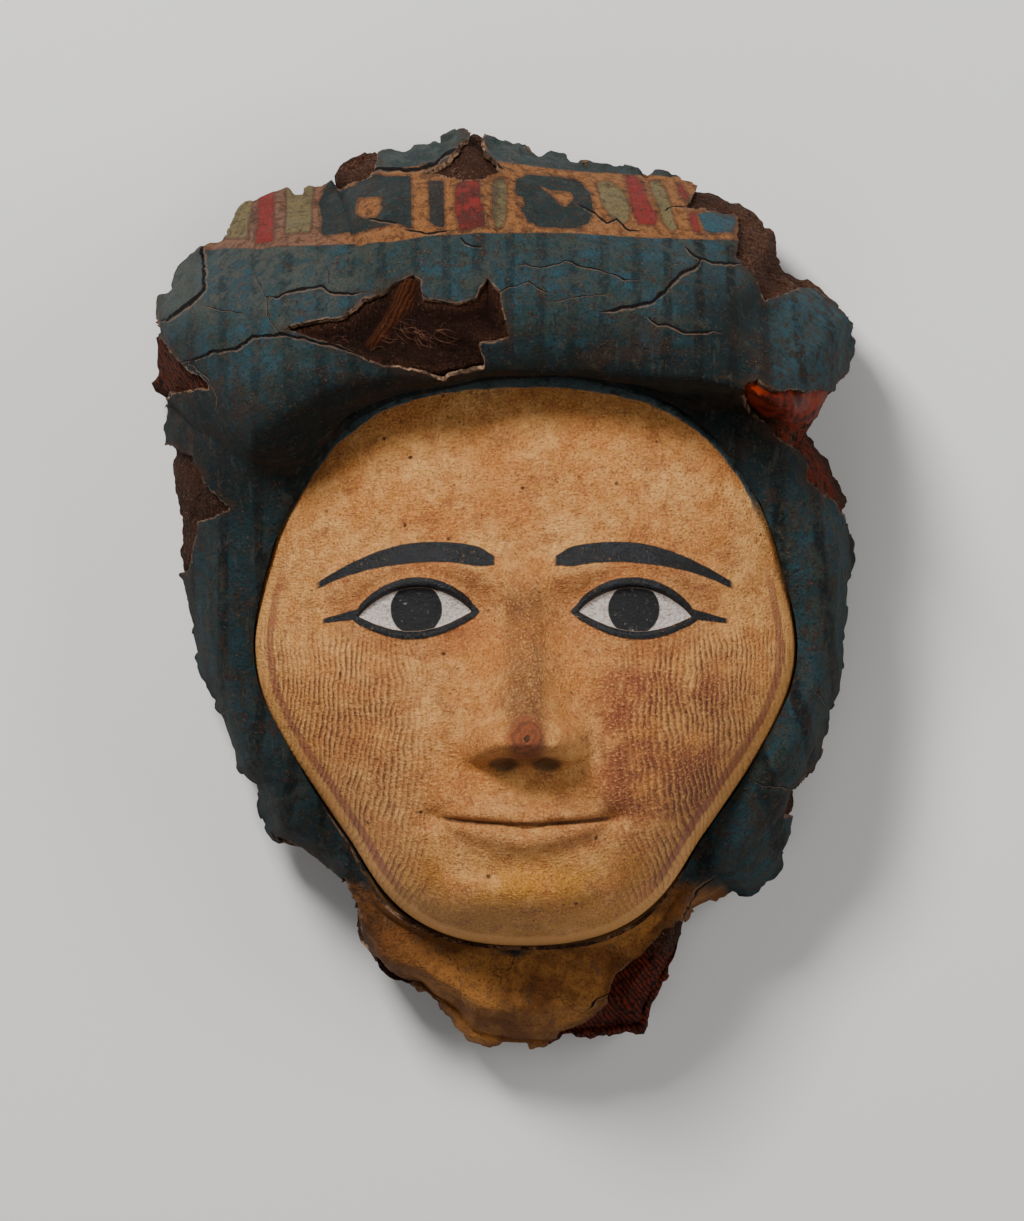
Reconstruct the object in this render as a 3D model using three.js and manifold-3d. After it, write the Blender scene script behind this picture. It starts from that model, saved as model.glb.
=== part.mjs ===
// A mummy mask: a carved wooden face set in a broken headdress of stiffened linen and painted plaster.
// It lies face up. Millimetres, +X to the viewer's right, +Y to the crown, +Z out of the face.
import * as THREE from "three";
import { mergeVertices } from "three/addons/utils/BufferGeometryUtils.js";
import Module from "manifold-3d";

const wasm = await Module();
wasm.setup();

// Carved face. Levels are heights over the plane that the mask lies on.
const FACE_WIDTH = 164;
const FACE_HEIGHT = 172;
const FACE_LEVEL = 82;
const BROW_EDGE_LEVEL = 75;
const TEMPLE_EDGE_LEVEL = 55;
const CHIN_EDGE_LEVEL = 40;
const WOOD_EDGE = 10;
const WOOD_MIDDLE = 24;
const WOOD_GAP = 0.3;

// Headdress: a roll of hair over the forehead, the sides, and the throat. Rises are over the wood's edge.
const ROLL_LEVEL = 105;
const SIDE_RISE = 5;
const THROAT_RISE = 1;
const ROLL_TURN_LEVEL = 25;
const SIDE_TURN_LEVEL = 16;
const THROAT_TURN_LEVEL = 18;
const RIM_RISE = 9;
const EDGE_LIP = 3;
const BARE_EDGE = 2.5;
const ROLL_OVERHANG = 2.5;
const ROLL_LINEN = 6.5;
const SIDE_LINEN = 4.5;
const PLASTER = 1.6;
const PLASTER_GAP = 0.4;

// Fineness of the surfaces
const STATION_TURN = 9;
const FACE_CELLS = 35;

// Where the roll and the throat begin and end round the face, in degrees from +X
const ROLL_RIGHT = [34, 46];
const ROLL_LEFT = [154, 132];
const THROAT_LEFT = [195, 240];
const THROAT_RIGHT = [328, 292];

// Shares of the face's half width and half height from here on, for every outline seen from the front
const HEADDRESS_OUTLINE = [
  [1.18, -0.1], [1.19, 0.08], [1.22, 0.36], [1.23, 0.5], [1.19, 0.64], [1.13, 0.73],
  [1.04, 0.83], [1.11, 0.92], [1.16, 1.0], [1.21, 1.12], [1.2, 1.25], [1.1, 1.34],
  [0.97, 1.41], [0.93, 1.54], [0.83, 1.62], [0.65, 1.67], [0.44, 1.74], [0.13, 1.81],
  [-0.16, 1.87], [-0.23, 1.9], [-0.37, 1.84], [-0.59, 1.82], [-0.69, 1.77], [-0.7, 1.7],
  [-0.78, 1.68], [-1.04, 1.62], [-1.15, 1.51], [-1.28, 1.41], [-1.36, 1.29], [-1.38, 1.12],
  [-1.38, 1.0], [-1.32, 0.93], [-1.35, 0.84], [-1.33, 0.75], [-1.29, 0.5], [-1.26, 0.32],
  [-1.23, 0.08], [-1.16, -0.13], [-1.09, -0.38], [-1.0, -0.43], [-0.95, -0.62], [-0.84, -0.65],
  [-0.67, -0.78], [-0.63, -0.86], [-0.62, -1.0], [-0.52, -1.14], [-0.39, -1.18], [-0.24, -1.29],
  [-0.2, -1.36], [0.02, -1.37], [0.24, -1.35], [0.44, -1.33], [0.48, -1.22], [0.57, -1.07],
  [0.62, -0.89], [0.78, -0.82], [0.85, -0.83], [0.93, -0.76], [0.96, -0.66], [1.01, -0.54],
  [1.02, -0.45], [1.09, -0.36], [1.13, -0.21],
];

// Places where the plaster is lost and the linen lies bare
const PLASTER_LOSSES = {
  front_of_roll: [
    [-0.88, 1.16], [-0.66, 1.2], [-0.56, 1.27], [-0.42, 1.35], [-0.38, 1.33], [-0.37, 1.27],
    [-0.26, 1.25], [-0.17, 1.27], [-0.14, 1.34], [-0.1, 1.29], [-0.06, 1.15], [-0.17, 1.13],
    [-0.16, 1.06], [-0.31, 1.02], [-0.56, 1.06], [-0.68, 1.1],
  ],
  right_of_crown: [
    [0.64, 1.8], [0.63, 1.65], [0.59, 1.58], [0.78, 1.55], [0.77, 1.41], [0.84, 1.32],
    [0.87, 1.25], [0.98, 1.29], [1.06, 1.3], [1.13, 1.25], [1.19, 1.19], [1.4, 1.19],
    [1.4, 1.6], [1.0, 1.8],
  ],
  left_of_crown: [
    [-0.8, 1.9], [-0.51, 1.84], [-0.54, 1.77], [-0.56, 1.68], [-0.68, 1.66], [-0.78, 1.72],
  ],
  top_of_crown: [
    [-0.3, 2.0], [-0.21, 1.82], [-0.27, 1.74], [-0.37, 1.7], [-0.2, 1.68], [-0.09, 1.7],
    [-0.17, 1.8], [-0.1, 2.0],
  ],
  left_side: [
    [-1.5, 1.31], [-1.34, 1.26], [-1.33, 1.14], [-1.2, 1.02], [-1.15, 0.97], [-1.33, 0.94],
    [-1.5, 0.96],
  ],
  left_temple: [
    [-1.5, 0.78], [-1.3, 0.77], [-1.21, 0.73], [-1.14, 0.61], [-1.08, 0.54], [-1.18, 0.49],
    [-1.2, 0.36], [-1.26, 0.29], [-1.5, 0.35],
  ],
  right_side: [
    [0.89, 0.88], [0.95, 0.78], [1.02, 0.75], [1.08, 0.68], [1.08, 0.63], [1.14, 0.6],
    [1.19, 0.55], [1.5, 0.5], [1.5, 0.84], [1.02, 0.92],
  ],
  right_jaw: [
    [0.94, -0.53], [0.96, -0.45], [1.02, -0.38], [1.07, -0.36], [1.08, -0.28], [1.12, -0.21],
    [1.4, -0.2], [1.3, -0.6],
  ],
  throat: [
    [0.06, -1.5], [0.1, -1.35], [0.24, -1.22], [0.42, -1.14], [0.51, -1.0], [0.56, -0.92],
    [0.65, -0.86], [0.75, -0.95], [0.7, -1.3], [0.5, -1.5],
  ],
};

// Sections of the headdress, from the plaster's line beside the face to the outer edge.
// Each point is a share of the way out and a share of that section's own level.
const ROLL_SECTION = [
  [0, 0.87], [0.06, 0.95], [0.2, 1.0], [0.36, 0.965], [0.51, 0.88],
  [0.67, 0.75], [0.81, 0.6], [0.92, 0.42],
];
const SIDE_SECTION = [
  [0, 0.99], [0.2, 1.0], [0.4, 0.96], [0.57, 0.88], [0.71, 0.76],
  [0.84, 0.63], [0.93, 0.48], [0.98, 0.37],
];
const THROAT_SECTION = [
  [0, 0.98], [0.17, 0.96], [0.33, 0.975], [0.49, 0.975], [0.64, 0.95],
  [0.77, 0.88], [0.88, 0.77], [0.95, 0.62],
];
const RIM_TUCK = 0.02;
const INNER_POINTS = [2, 3, 4, 6, 8];
const WIDEST_WALL = 0.3;
const HOLLOW_STEP = 0.4;
const LEAST_FACING = 0.45;

// Small functions used by every surface

function smooth(from, to, value) {
  const t = THREE.MathUtils.clamp((value - from) / (to - from), 0, 1);
  return t * t * (3 - 2 * t);
}

function mound(x, y, { at, size, power = 2 }) {
  const across = Math.abs((x - at[0]) / size[0]) ** power;
  const along = Math.abs((y - at[1]) / size[1]) ** power;
  return Math.exp(-across - along);
}

function crest(distance, width) {
  return Math.exp(-((distance / width) ** 2));
}

// Carving of the face, on a pattern 164 wide and 172 high, which is then stretched to the real face.
// The pattern follows the drawing-book canon: three equal thirds and five eye widths.
const PATTERN_WIDTH = 164;
const PATTERN_HEIGHT = 172;
const THIRD = PATTERN_HEIGHT / 3;
const EYE = PATTERN_WIDTH / 5;
const BROW_LINE = PATTERN_HEIGHT / 2 - THIRD;
const EYE_LINE = PATTERN_HEIGHT / 2 - 1.25 * THIRD;
const NOSE_LINE = BROW_LINE - THIRD;
const MOUTH_LINE = NOSE_LINE - THIRD / 3;
const CHIN_LINE = -PATTERN_HEIGHT / 2;
const MOUTH_HALF = EYE * 0.8;
const LID_HALF = EYE * 0.52;

const CHEEK = { at: [40, -14], size: [25, 26] };
const MUZZLE = { at: [0, MOUTH_LINE + 3], size: [33, 24] };
const SOCKET = { at: [EYE, EYE_LINE + 1.5], size: [24, 12.5] };
const EYE_CORNER = { at: [EYE * 0.46, EYE_LINE + 0.5], size: [8, 10] };
const EYEBALL = { at: [EYE, EYE_LINE + 0.5], size: [17.5, 10.5], power: 2.2 };
const NOSE_TIP = { at: [0, NOSE_LINE + 6], size: [9.5, 8] };
const NOSE_WING = { at: [11.5, NOSE_LINE + 4.6], size: [5.6, 6.4], power: 2.4 };
const NOSE_SIDE = { at: [8, NOSE_LINE + 20], size: [11, 19] };
const NOSTRIL = { at: [6.4, NOSE_LINE - 0.8], size: [3.4, 2.3] };
const LIP_GROOVE = { at: [0, (NOSE_LINE + MOUTH_LINE) / 2 + 1.5], size: [2.8, 6.5] };
const MOUTH_CORNER = { at: [MOUTH_HALF + 0.5, MOUTH_LINE + 1.8], size: [4.6, 3.4] };
const CHIN_FOLD = { at: [0, MOUTH_LINE - 14.5], size: [18, 4.6] };
const CHIN = { at: [0, CHIN_LINE + 15.5], size: [24, 12], power: 2.3 };

function browRelief(x, y) {
  const arch = BROW_LINE - 1 - 0.0065 * (x - EYE * 0.85) ** 2;
  return 3 * crest(y - arch, 6) * smooth(72, 40, x) * smooth(-6, 14, x);
}

function eyeRelief(x, y) {
  const q = (x - EYE) / LID_HALF;
  const open = Math.max(1 - q * q, 0);
  const upper = EYE_LINE + 8.3 * open ** 0.85 - 0.8 * q;
  const lower = EYE_LINE - 5.2 * open ** 1.1 - 0.8 * q;
  const near = smooth(1.25, 0.8, Math.abs(q));
  let z = 5.6 * mound(x, y, EYEBALL);
  if (Math.abs(q) < 1) z -= 0.9 * smooth(-0.6, 0.6, upper - y) * smooth(-0.6, 0.6, y - lower);
  z += 0.9 * crest(y - upper - 1, 1.5) * near + 0.6 * crest(y - lower + 0.9, 1.3) * near;
  return z - 0.6 * crest(y - upper - 5, 1.3) * near;
}

function noseRelief(x, y) {
  const down = THREE.MathUtils.clamp((BROW_LINE - 2 - y) / (THIRD - 8), 0, 1);
  const height = 2.6 + 15 * down ** 1.25;
  const half = 6.8 + 3 * down ** 2;
  const under = smooth(NOSE_LINE - 3.6, NOSE_LINE + 5, y);
  const over = smooth(BROW_LINE + 14, BROW_LINE - 12, y);
  let z = height * Math.exp(-((x / half) ** 2.3)) * under * over;
  z += 4 * mound(x, y, NOSE_TIP) * under;
  z += 9.5 * mound(x, y, NOSE_WING) * smooth(NOSE_LINE - 4.2, NOSE_LINE + 1.5, y);
  z += 4.2 * mound(x, y, NOSE_SIDE) * under;
  return z - 3.4 * mound(x, y, NOSTRIL);
}

function mouthRelief(x, y) {
  const across = Math.max(1 - (x / MOUTH_HALF) ** 2, 0);
  const above = y - (MOUTH_LINE + 0.0026 * x ** 2 - 0.9 * crest(x, 5.5));
  const upperHeight = 7.4 * across ** 0.8 * (1 - 0.17 * crest(x, 3.4));
  const lowerHeight = 8.6 * across ** 0.7;
  const fade = crest(0.42, 0.44) * crest(above, 2);
  const upperLip = above > 0 ? crest(above / (upperHeight + 0.6) - 0.42, 0.44) : fade;
  const lowerLip = above > 0 ? fade : crest(-above / (lowerHeight + 0.6) - 0.45, 0.46);
  let z = across ** 1.1 * (3.6 * upperLip + 4.6 * lowerLip);
  z += 0.7 * across * crest(above - upperHeight, 1.1);
  z -= 2.4 * crest(above, 1) * smooth(MOUTH_HALF + 3, MOUTH_HALF - 5, x);
  return z - 3.2 * mound(x, y, MOUTH_CORNER);
}

// Relief over the plain face, for a point of the pattern
function carving(patternX, y) {
  const x = Math.abs(patternX);
  let z = 5.5 * mound(x, y, CHEEK) + 6.5 * mound(x, y, MUZZLE) + browRelief(x, y);
  z -= 5.5 * mound(x, y, SOCKET) + 3.2 * mound(x, y, EYE_CORNER);
  z += eyeRelief(x, y) + noseRelief(x, y) + mouthRelief(x, y);
  z -= 1.3 * mound(x, y, LIP_GROOVE) + 3.4 * mound(x, y, CHIN_FOLD);
  return z + 10 * mound(x, y, CHIN);
}

// Oval of the face: its radius in a direction, from the middle between hairline and chin
function ovalRadius(angle) {
  const c = Math.cos(angle);
  const s = Math.sin(angle);
  const power = 2 + 0.4 * smooth(0.2, 1, s) + 0.35 * smooth(-0.7, -1, s);
  const half = (FACE_WIDTH / 2) * (1 - 0.18 * smooth(0.1, -0.8, s));
  const sum = Math.abs(c / half) ** power + Math.abs(s / (FACE_HEIGHT / 2)) ** power;
  return sum ** (-1 / power);
}

// Height of the wood's front edge in a direction
function edgeLevel(angle) {
  const s = Math.sin(angle);
  const toBrow = (BROW_EDGE_LEVEL - TEMPLE_EDGE_LEVEL) * smooth(0.1, 1, s);
  const toChin = (CHIN_EDGE_LEVEL - TEMPLE_EDGE_LEVEL) * smooth(-0.3, -1, s);
  return TEMPLE_EDGE_LEVEL + toBrow + toChin;
}

function faceFront(x, y) {
  const angle = Math.atan2(y, x);
  const share = Math.min(Math.hypot(x, y) / ovalRadius(angle), 1);
  const edge = edgeLevel(angle);
  const brow = smooth(0.1, 1, Math.sin(angle));
  const chin = smooth(-0.3, -1, Math.sin(angle));
  const roundness = 2.3 + 0.6 * brow + 3.6 * chin;
  const dome = (1 - share ** roundness) ** (0.56 - 0.06 * chin);
  const relief = carving((x * PATTERN_WIDTH) / FACE_WIDTH, (y * PATTERN_HEIGHT) / FACE_HEIGHT);
  return edge + (FACE_LEVEL - edge) * dome + (relief * FACE_WIDTH) / PATTERN_WIDTH;
}

function faceBack(angle, share) {
  const edge = edgeLevel(angle) - WOOD_EDGE;
  return edge + (FACE_LEVEL - WOOD_MIDDLE - edge) * (1 - share ** 2) ** 0.6;
}

// A closed body from its corners and its faces, as a solid that can be cut
function solid(points, faces) {
  const mesh = new wasm.Mesh({
    numProp: 3,
    vertProperties: new Float32Array(points.flat()),
    triVerts: new Uint32Array(faces.flat()),
  });
  return new wasm.Manifold(mesh);
}

// Both triangles of the quad a, b, c, d, whose corners run anticlockwise seen from outside
function quad(a, b, c, d) {
  return [[a, b, c], [a, c, d]];
}

// Finer cells over the eyes, nose and mouth: moves even steps from -1 to 1 towards a place of their own
function crowd(step, amount, centre) {
  const shift = Math.sin(Math.PI * (step - centre)) - Math.sin(Math.PI * centre);
  return step - (amount * shift) / Math.PI;
}

// The face is a grid stretched over the oval, a wall round its edge, and a dished back
function woodenFace() {
  const n = FACE_CELLS;
  const points = [];
  const faces = [];
  for (let j = 0; j <= n; j += 1) {
    for (let i = 0; i <= n; i += 1) {
      const u = crowd((2 * i) / n - 1, 0.35, 0);
      const v = crowd((2 * j) / n - 1, 0.3, -0.28);
      const across = u * Math.sqrt(1 - v ** 2 / 2);
      const along = v * Math.sqrt(1 - u ** 2 / 2);
      const angle = Math.atan2(along, across);
      const reach = Math.min(Math.hypot(across, along), 1) * ovalRadius(angle);
      const x = reach * Math.cos(angle);
      const y = reach * Math.sin(angle);
      points.push([x, y, faceFront(x, y)]);
    }
  }
  const at = (i, j) => j * (n + 1) + i;
  for (let j = 0; j < n; j += 1) {
    for (let i = 0; i < n; i += 1) {
      faces.push(...quad(at(i, j), at(i + 1, j), at(i + 1, j + 1), at(i, j + 1)));
    }
  }
  // The grid's edge, once round from its lower left corner
  let loop = [];
  for (let k = 0; k < n; k += 1) loop.push(at(k, 0));
  for (let k = 0; k < n; k += 1) loop.push(at(n, k));
  for (let k = n; k > 0; k -= 1) loop.push(at(k, n));
  for (let k = n; k > 0; k -= 1) loop.push(at(0, k));
  const rim = loop.map((index) => points[index]);
  for (const share of [1, 0.86, 0.5]) {
    const first = points.length;
    for (const [x, y] of rim) {
      points.push([x * share, y * share, faceBack(Math.atan2(y, x), share)]);
    }
    const next = rim.map((_, k) => first + k);
    rim.forEach((_, k) => {
      const after = (k + 1) % rim.length;
      faces.push(...quad(loop[k], next[k], next[after], loop[after]));
    });
    loop = next;
  }
  points.push([0, 0, faceBack(0, 0)]);
  loop.forEach((index, k) => {
    faces.push([index, points.length - 1, loop[(k + 1) % loop.length]]);
  });
  return solid(points, faces);
}

// Stations round the face: a point on the outline, and the point of the oval that it is joined to
function stations() {
  const corners = HEADDRESS_OUTLINE.map(([x, y]) => {
    return new THREE.Vector2((x * FACE_WIDTH) / 2, (y * FACE_HEIGHT) / 2);
  });
  const outer = [];
  corners.forEach((from, k) => {
    const to = corners[(k + 1) % corners.length];
    const turn = THREE.MathUtils.radToDeg(Math.abs(from.angleTo(to)));
    const steps = Math.ceil(turn / STATION_TURN);
    for (let i = 0; i < steps; i += 1) outer.push(from.clone().lerp(to, i / steps));
  });
  let angles = outer.map((p) => Math.atan2(p.y, p.x));
  angles = angles.map((a, k) => (k > 0 && a < angles[0] ? a + 2 * Math.PI : a));
  // The inner ends are spread more evenly than the broken outline's corners
  const count = angles.length;
  let spread = angles;
  for (let pass = 0; pass < 12; pass += 1) {
    spread = spread.map((a, k) => {
      const before = k > 0 ? spread[k - 1] : spread[count - 1] - 2 * Math.PI;
      const after = k < count - 1 ? spread[k + 1] : spread[0] + 2 * Math.PI;
      return (before + 2 * a + after) / 4;
    });
  }
  return outer.map((end, k) => {
    const reach = ovalRadius(spread[k]) + WOOD_GAP;
    const start = new THREE.Vector2(Math.cos(spread[k]), Math.sin(spread[k])).multiplyScalar(reach);
    const out = end.clone().sub(start);
    const length = out.length() - PLASTER - PLASTER_GAP;
    return { angle: spread[k], start, out: out.normalize(), length };
  });
}

// How much of the roll and of the throat a direction has
function weights(angle) {
  const degrees = THREE.MathUtils.euclideanModulo(THREE.MathUtils.radToDeg(angle), 360);
  return {
    roll: smooth(...ROLL_RIGHT, degrees) * smooth(...ROLL_LEFT, degrees),
    throat: smooth(...THROAT_LEFT, degrees) * smooth(...THROAT_RIGHT, degrees),
  };
}

function blend({ roll, throat }, atRoll, atSide, atThroat) {
  return atRoll * roll + atThroat * throat + atSide * (1 - roll - throat);
}

// The rear rim lies on the plane in six places and rises a little between them
function rimLevel(angle) {
  const wave = Math.sin(6 * angle + 0.9) + 0.35 * Math.sin(5 * angle + 2.1);
  return RIM_RISE * smooth(0, 1.2, wave);
}

// Outer side of the section at a station, from the face's edge down to the rear rim
function outerSection({ angle, length }) {
  const share = weights(angle);
  const first = blend(share, -ROLL_OVERHANG, BARE_EDGE, BARE_EDGE);
  const edge = edgeLevel(angle);
  const section = [[0, edge + EDGE_LIP]];
  ROLL_SECTION.forEach((roll, k) => {
    const side = SIDE_SECTION[k];
    const throat = THROAT_SECTION[k];
    const way = blend(share, roll[0], side[0], throat[0]);
    const sideLevel = side[1] * (edge + SIDE_RISE);
    const throatLevel = throat[1] * (edge + THROAT_RISE);
    const level = blend(share, roll[1] * ROLL_LEVEL, sideLevel, throatLevel);
    section.push([first + way * (length - first), level]);
  });
  const turn = blend(share, ROLL_TURN_LEVEL, SIDE_TURN_LEVEL, THROAT_TURN_LEVEL);
  section.push([length, turn], [length * (1 - RIM_TUCK), rimLevel(angle)]);
  return section;
}

// Inner side of the section, one linen thickness behind the outer side, and the lip beside the wood
function innerSection(station, outer) {
  const thickness = blend(weights(station.angle), ROLL_LINEN, SIDE_LINEN, SIDE_LINEN);
  const wall = Math.min(thickness, station.length * WIDEST_WALL);
  const back = edgeLevel(station.angle) - WOOD_EDGE;
  const inner = [[0, back], [wall, back]];
  INNER_POINTS.forEach((k) => {
    const along = [outer[k + 1][0] - outer[k - 1][0], outer[k + 1][1] - outer[k - 1][1]];
    const size = Math.hypot(...along);
    const inward = outer[k][0] + (along[1] / size) * wall;
    const least = k < outer.length / 2 ? inner.at(-1)[0] + HOLLOW_STEP : 0;
    inner.push([Math.max(inward, least), outer[k][1] - (along[0] / size) * wall]);
  });
  const [rim, level] = outer.at(-1);
  return [...inner, [rim - wall, level]].reverse();
}

function place({ start, out }, [s, z]) {
  return [start.x + out.x * s, start.y + out.y * s, z];
}

// A closed ring swept round the face through one loop of points for each station.
// From the point mirroredFrom on, a loop runs back, so its quads are split along the other diagonal.
function ring(loops, mirroredFrom = Infinity) {
  const size = loops[0].length;
  const at = (k, i) => (k % loops.length) * size + (i % size);
  const faces = loops.flatMap((loop, k) => loop.flatMap((_, i) => {
    const corners = [at(k, i), at(k, i + 1), at(k + 1, i + 1), at(k + 1, i)];
    if (i >= mirroredFrom) corners.push(corners.shift());
    return quad(...corners);
  }));
  return solid(loops.flat(), faces);
}

function linenBacking(all) {
  const loops = all.map((station) => {
    const outer = outerSection(station);
    return [...outer, ...innerSection(station, outer)].map((point) => place(station, point));
  });
  return ring(loops);
}

// Directions square to the linen's outer side at each of its points, long enough to clear both facets
function outwardNormals(grid) {
  const normals = grid.map((row) => row.map(() => []));
  const last = grid[0].length - 1;
  grid.forEach((row, k) => {
    const next = (k + 1) % grid.length;
    for (let i = 0; i < last; i += 1) {
      for (const corners of [[[k, i], [k, i + 1], [next, i + 1]], [[k, i], [next, i + 1], [next, i]]]) {
        const [a, b, c] = corners.map(([m, n]) => new THREE.Vector3(...grid[m][n]));
        const normal = b.sub(a).cross(c.sub(a)).normalize();
        corners.forEach(([m, n]) => normals[m][n].push(normal));
      }
    }
  });
  return normals.map((row) => row.map((list) => {
    const mean = list.reduce((sum, n) => sum.add(n), new THREE.Vector3()).normalize();
    const least = Math.min(...list.map((n) => n.dot(mean)));
    return mean.divideScalar(Math.max(least, LEAST_FACING));
  }));
}

// The prism that a loss cuts out of the plaster
function lossPrism(outline) {
  const shape = new THREE.Shape(outline.map(([x, y]) => {
    return new THREE.Vector2((x * FACE_WIDTH) / 2, (y * FACE_HEIGHT) / 2);
  }));
  const depth = 2 * (ROLL_LEVEL + FACE_LEVEL);
  const prism = new THREE.ExtrudeGeometry(shape, { depth, bevelEnabled: false });
  prism.deleteAttribute("normal");
  prism.deleteAttribute("uv");
  const merged = mergeVertices(prism);
  const mesh = new wasm.Mesh({
    numProp: 3,
    vertProperties: merged.attributes.position.array,
    triVerts: new Uint32Array(merged.index.array),
  });
  return new wasm.Manifold(mesh).translate([0, 0, -depth / 2]);
}

function paintedPlaster(all) {
  const grid = all.map((station) => outerSection(station).map((point) => place(station, point)));
  const normals = outwardNormals(grid);
  const lift = (k, i, distance) => {
    return new THREE.Vector3(...grid[k][i]).addScaledVector(normals[k][i], distance).toArray();
  };
  const covered = grid[0].map((_, i) => i).slice(1, -1);
  const loops = grid.map((_, k) => [
    ...covered.map((i) => lift(k, i, PLASTER_GAP + PLASTER)),
    ...covered.toReversed().map((i) => lift(k, i, PLASTER_GAP)),
  ]);
  return Object.values(PLASTER_LOSSES).reduce((skin, outline) => {
    return skin.subtract(lossPrism(outline));
  }, ring(loops, covered.length));
}

// A named mesh of a finished solid in its own material
function meshOf(name, body, colour, roughness) {
  const { numProp, vertProperties, triVerts } = body.getMesh();
  const geometry = new THREE.BufferGeometry();
  const positions = new THREE.InterleavedBuffer(vertProperties, numProp);
  geometry.setAttribute("position", new THREE.InterleavedBufferAttribute(positions, 3, 0));
  geometry.setIndex(new THREE.BufferAttribute(triVerts, 1));
  const material = new THREE.MeshStandardMaterial({ color: colour, roughness, metalness: 0 });
  const mesh = new THREE.Mesh(geometry, material);
  mesh.name = name;
  return mesh;
}

const round = stations();
const mask = new THREE.Group();
mask.add(meshOf("wooden_face", woodenFace(), "#a9854f", 0.6));
mask.add(meshOf("linen_backing", linenBacking(round), "#6e543b", 0.95));
mask.add(meshOf("painted_plaster", paintedPlaster(round), "#5c6b6b", 0.85));

// The origin is under the middle of the mask, on the plane that it lies on
const box = new THREE.Box3().setFromObject(mask);
const middle = box.getCenter(new THREE.Vector3());
mask.children.forEach((mesh) => mesh.position.set(-middle.x, -middle.y, -box.min.z));

export default mask;
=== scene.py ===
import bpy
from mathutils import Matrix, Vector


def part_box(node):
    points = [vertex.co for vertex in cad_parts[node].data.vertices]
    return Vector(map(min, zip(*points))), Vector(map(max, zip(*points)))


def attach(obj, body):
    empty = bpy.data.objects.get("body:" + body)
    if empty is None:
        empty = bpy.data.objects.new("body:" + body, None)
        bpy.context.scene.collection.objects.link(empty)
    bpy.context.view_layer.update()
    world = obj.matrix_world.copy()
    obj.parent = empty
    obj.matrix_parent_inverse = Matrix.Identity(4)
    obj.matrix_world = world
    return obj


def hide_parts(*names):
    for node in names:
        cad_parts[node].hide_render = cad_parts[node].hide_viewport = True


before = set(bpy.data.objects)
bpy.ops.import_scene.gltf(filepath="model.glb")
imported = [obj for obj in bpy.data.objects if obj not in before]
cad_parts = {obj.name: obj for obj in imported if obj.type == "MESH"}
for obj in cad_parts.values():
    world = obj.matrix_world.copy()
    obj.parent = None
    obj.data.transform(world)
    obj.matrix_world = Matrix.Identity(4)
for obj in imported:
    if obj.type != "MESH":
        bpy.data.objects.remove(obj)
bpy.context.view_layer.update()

import math

import bpy
import numpy as np
from bpy.props import FloatProperty, FloatVectorProperty, IntProperty, PointerProperty

bl_info = {
    "name": "Mummy mask",
    "version": (1, 0, 0),
    "blender": (4, 5, 0),
    "location": "View3D > Sidebar > Mummy mask",
    "description": "A carved wooden face in a broken headdress of stiffened linen and painted plaster",
    "category": "Object",
}

# Places. Shapes are worked out in millimetres from the point under the middle of the face.
MM = 0.001
FACE_LOW, FACE_HIGH = (np.array(corner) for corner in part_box("wooden_face"))
LINEN_HIGH = np.array(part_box("linen_backing")[1])
MIDDLE = np.array([(FACE_LOW[0] + FACE_HIGH[0]) / 2, (FACE_LOW[1] + FACE_HIGH[1]) / 2, 0])
HALF_HEIGHT = (FACE_HIGH[1] - FACE_LOW[1]) / 2 / MM
HALF_WIDTH = 82.0
HALF = np.array([HALF_WIDTH, HALF_HEIGHT])

# Levels over the plane that the mask lies on
FACE_LEVEL = 82.0
BROW_EDGE_LEVEL = 75.0
TEMPLE_EDGE_LEVEL = 55.0
CHIN_EDGE_LEVEL = FACE_LOW[2] / MM + 10.0
ROLL_LEVEL = LINEN_HIGH[2] / MM
SIDE_RISE = 5.0
THROAT_RISE = 1.0
ROLL_TURN_LEVEL = 25.0
SIDE_TURN_LEVEL = 16.0
THROAT_TURN_LEVEL = 18.0
RIM_RISE = 9.0

# Thicknesses and clearances
WOOD_EDGE = 10.0
WOOD_MIDDLE = 24.0
WOOD_GAP = 0.3
EDGE_LIP = 3.0
BARE_EDGE = 2.5
ROLL_OVERHANG = 2.5
ROLL_LINEN = 6.5
SIDE_LINEN = 4.5
WIDEST_WALL = 0.3
HOLLOW_STEP = 0.4

# The view straight down on the face: the point under the camera and the level where the scale is set
VIEW_MIDDLE = np.array([-3.9, 15.6])
VIEW_LEVEL = 45.0
VIEW_HEIGHT = 369.6

# Where the roll and the throat begin and end round the face, in degrees from +X
ROLL_RIGHT = (34, 46)
ROLL_LEFT = (154, 132)
THROAT_LEFT = (195, 240)
THROAT_RIGHT = (328, 292)

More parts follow.
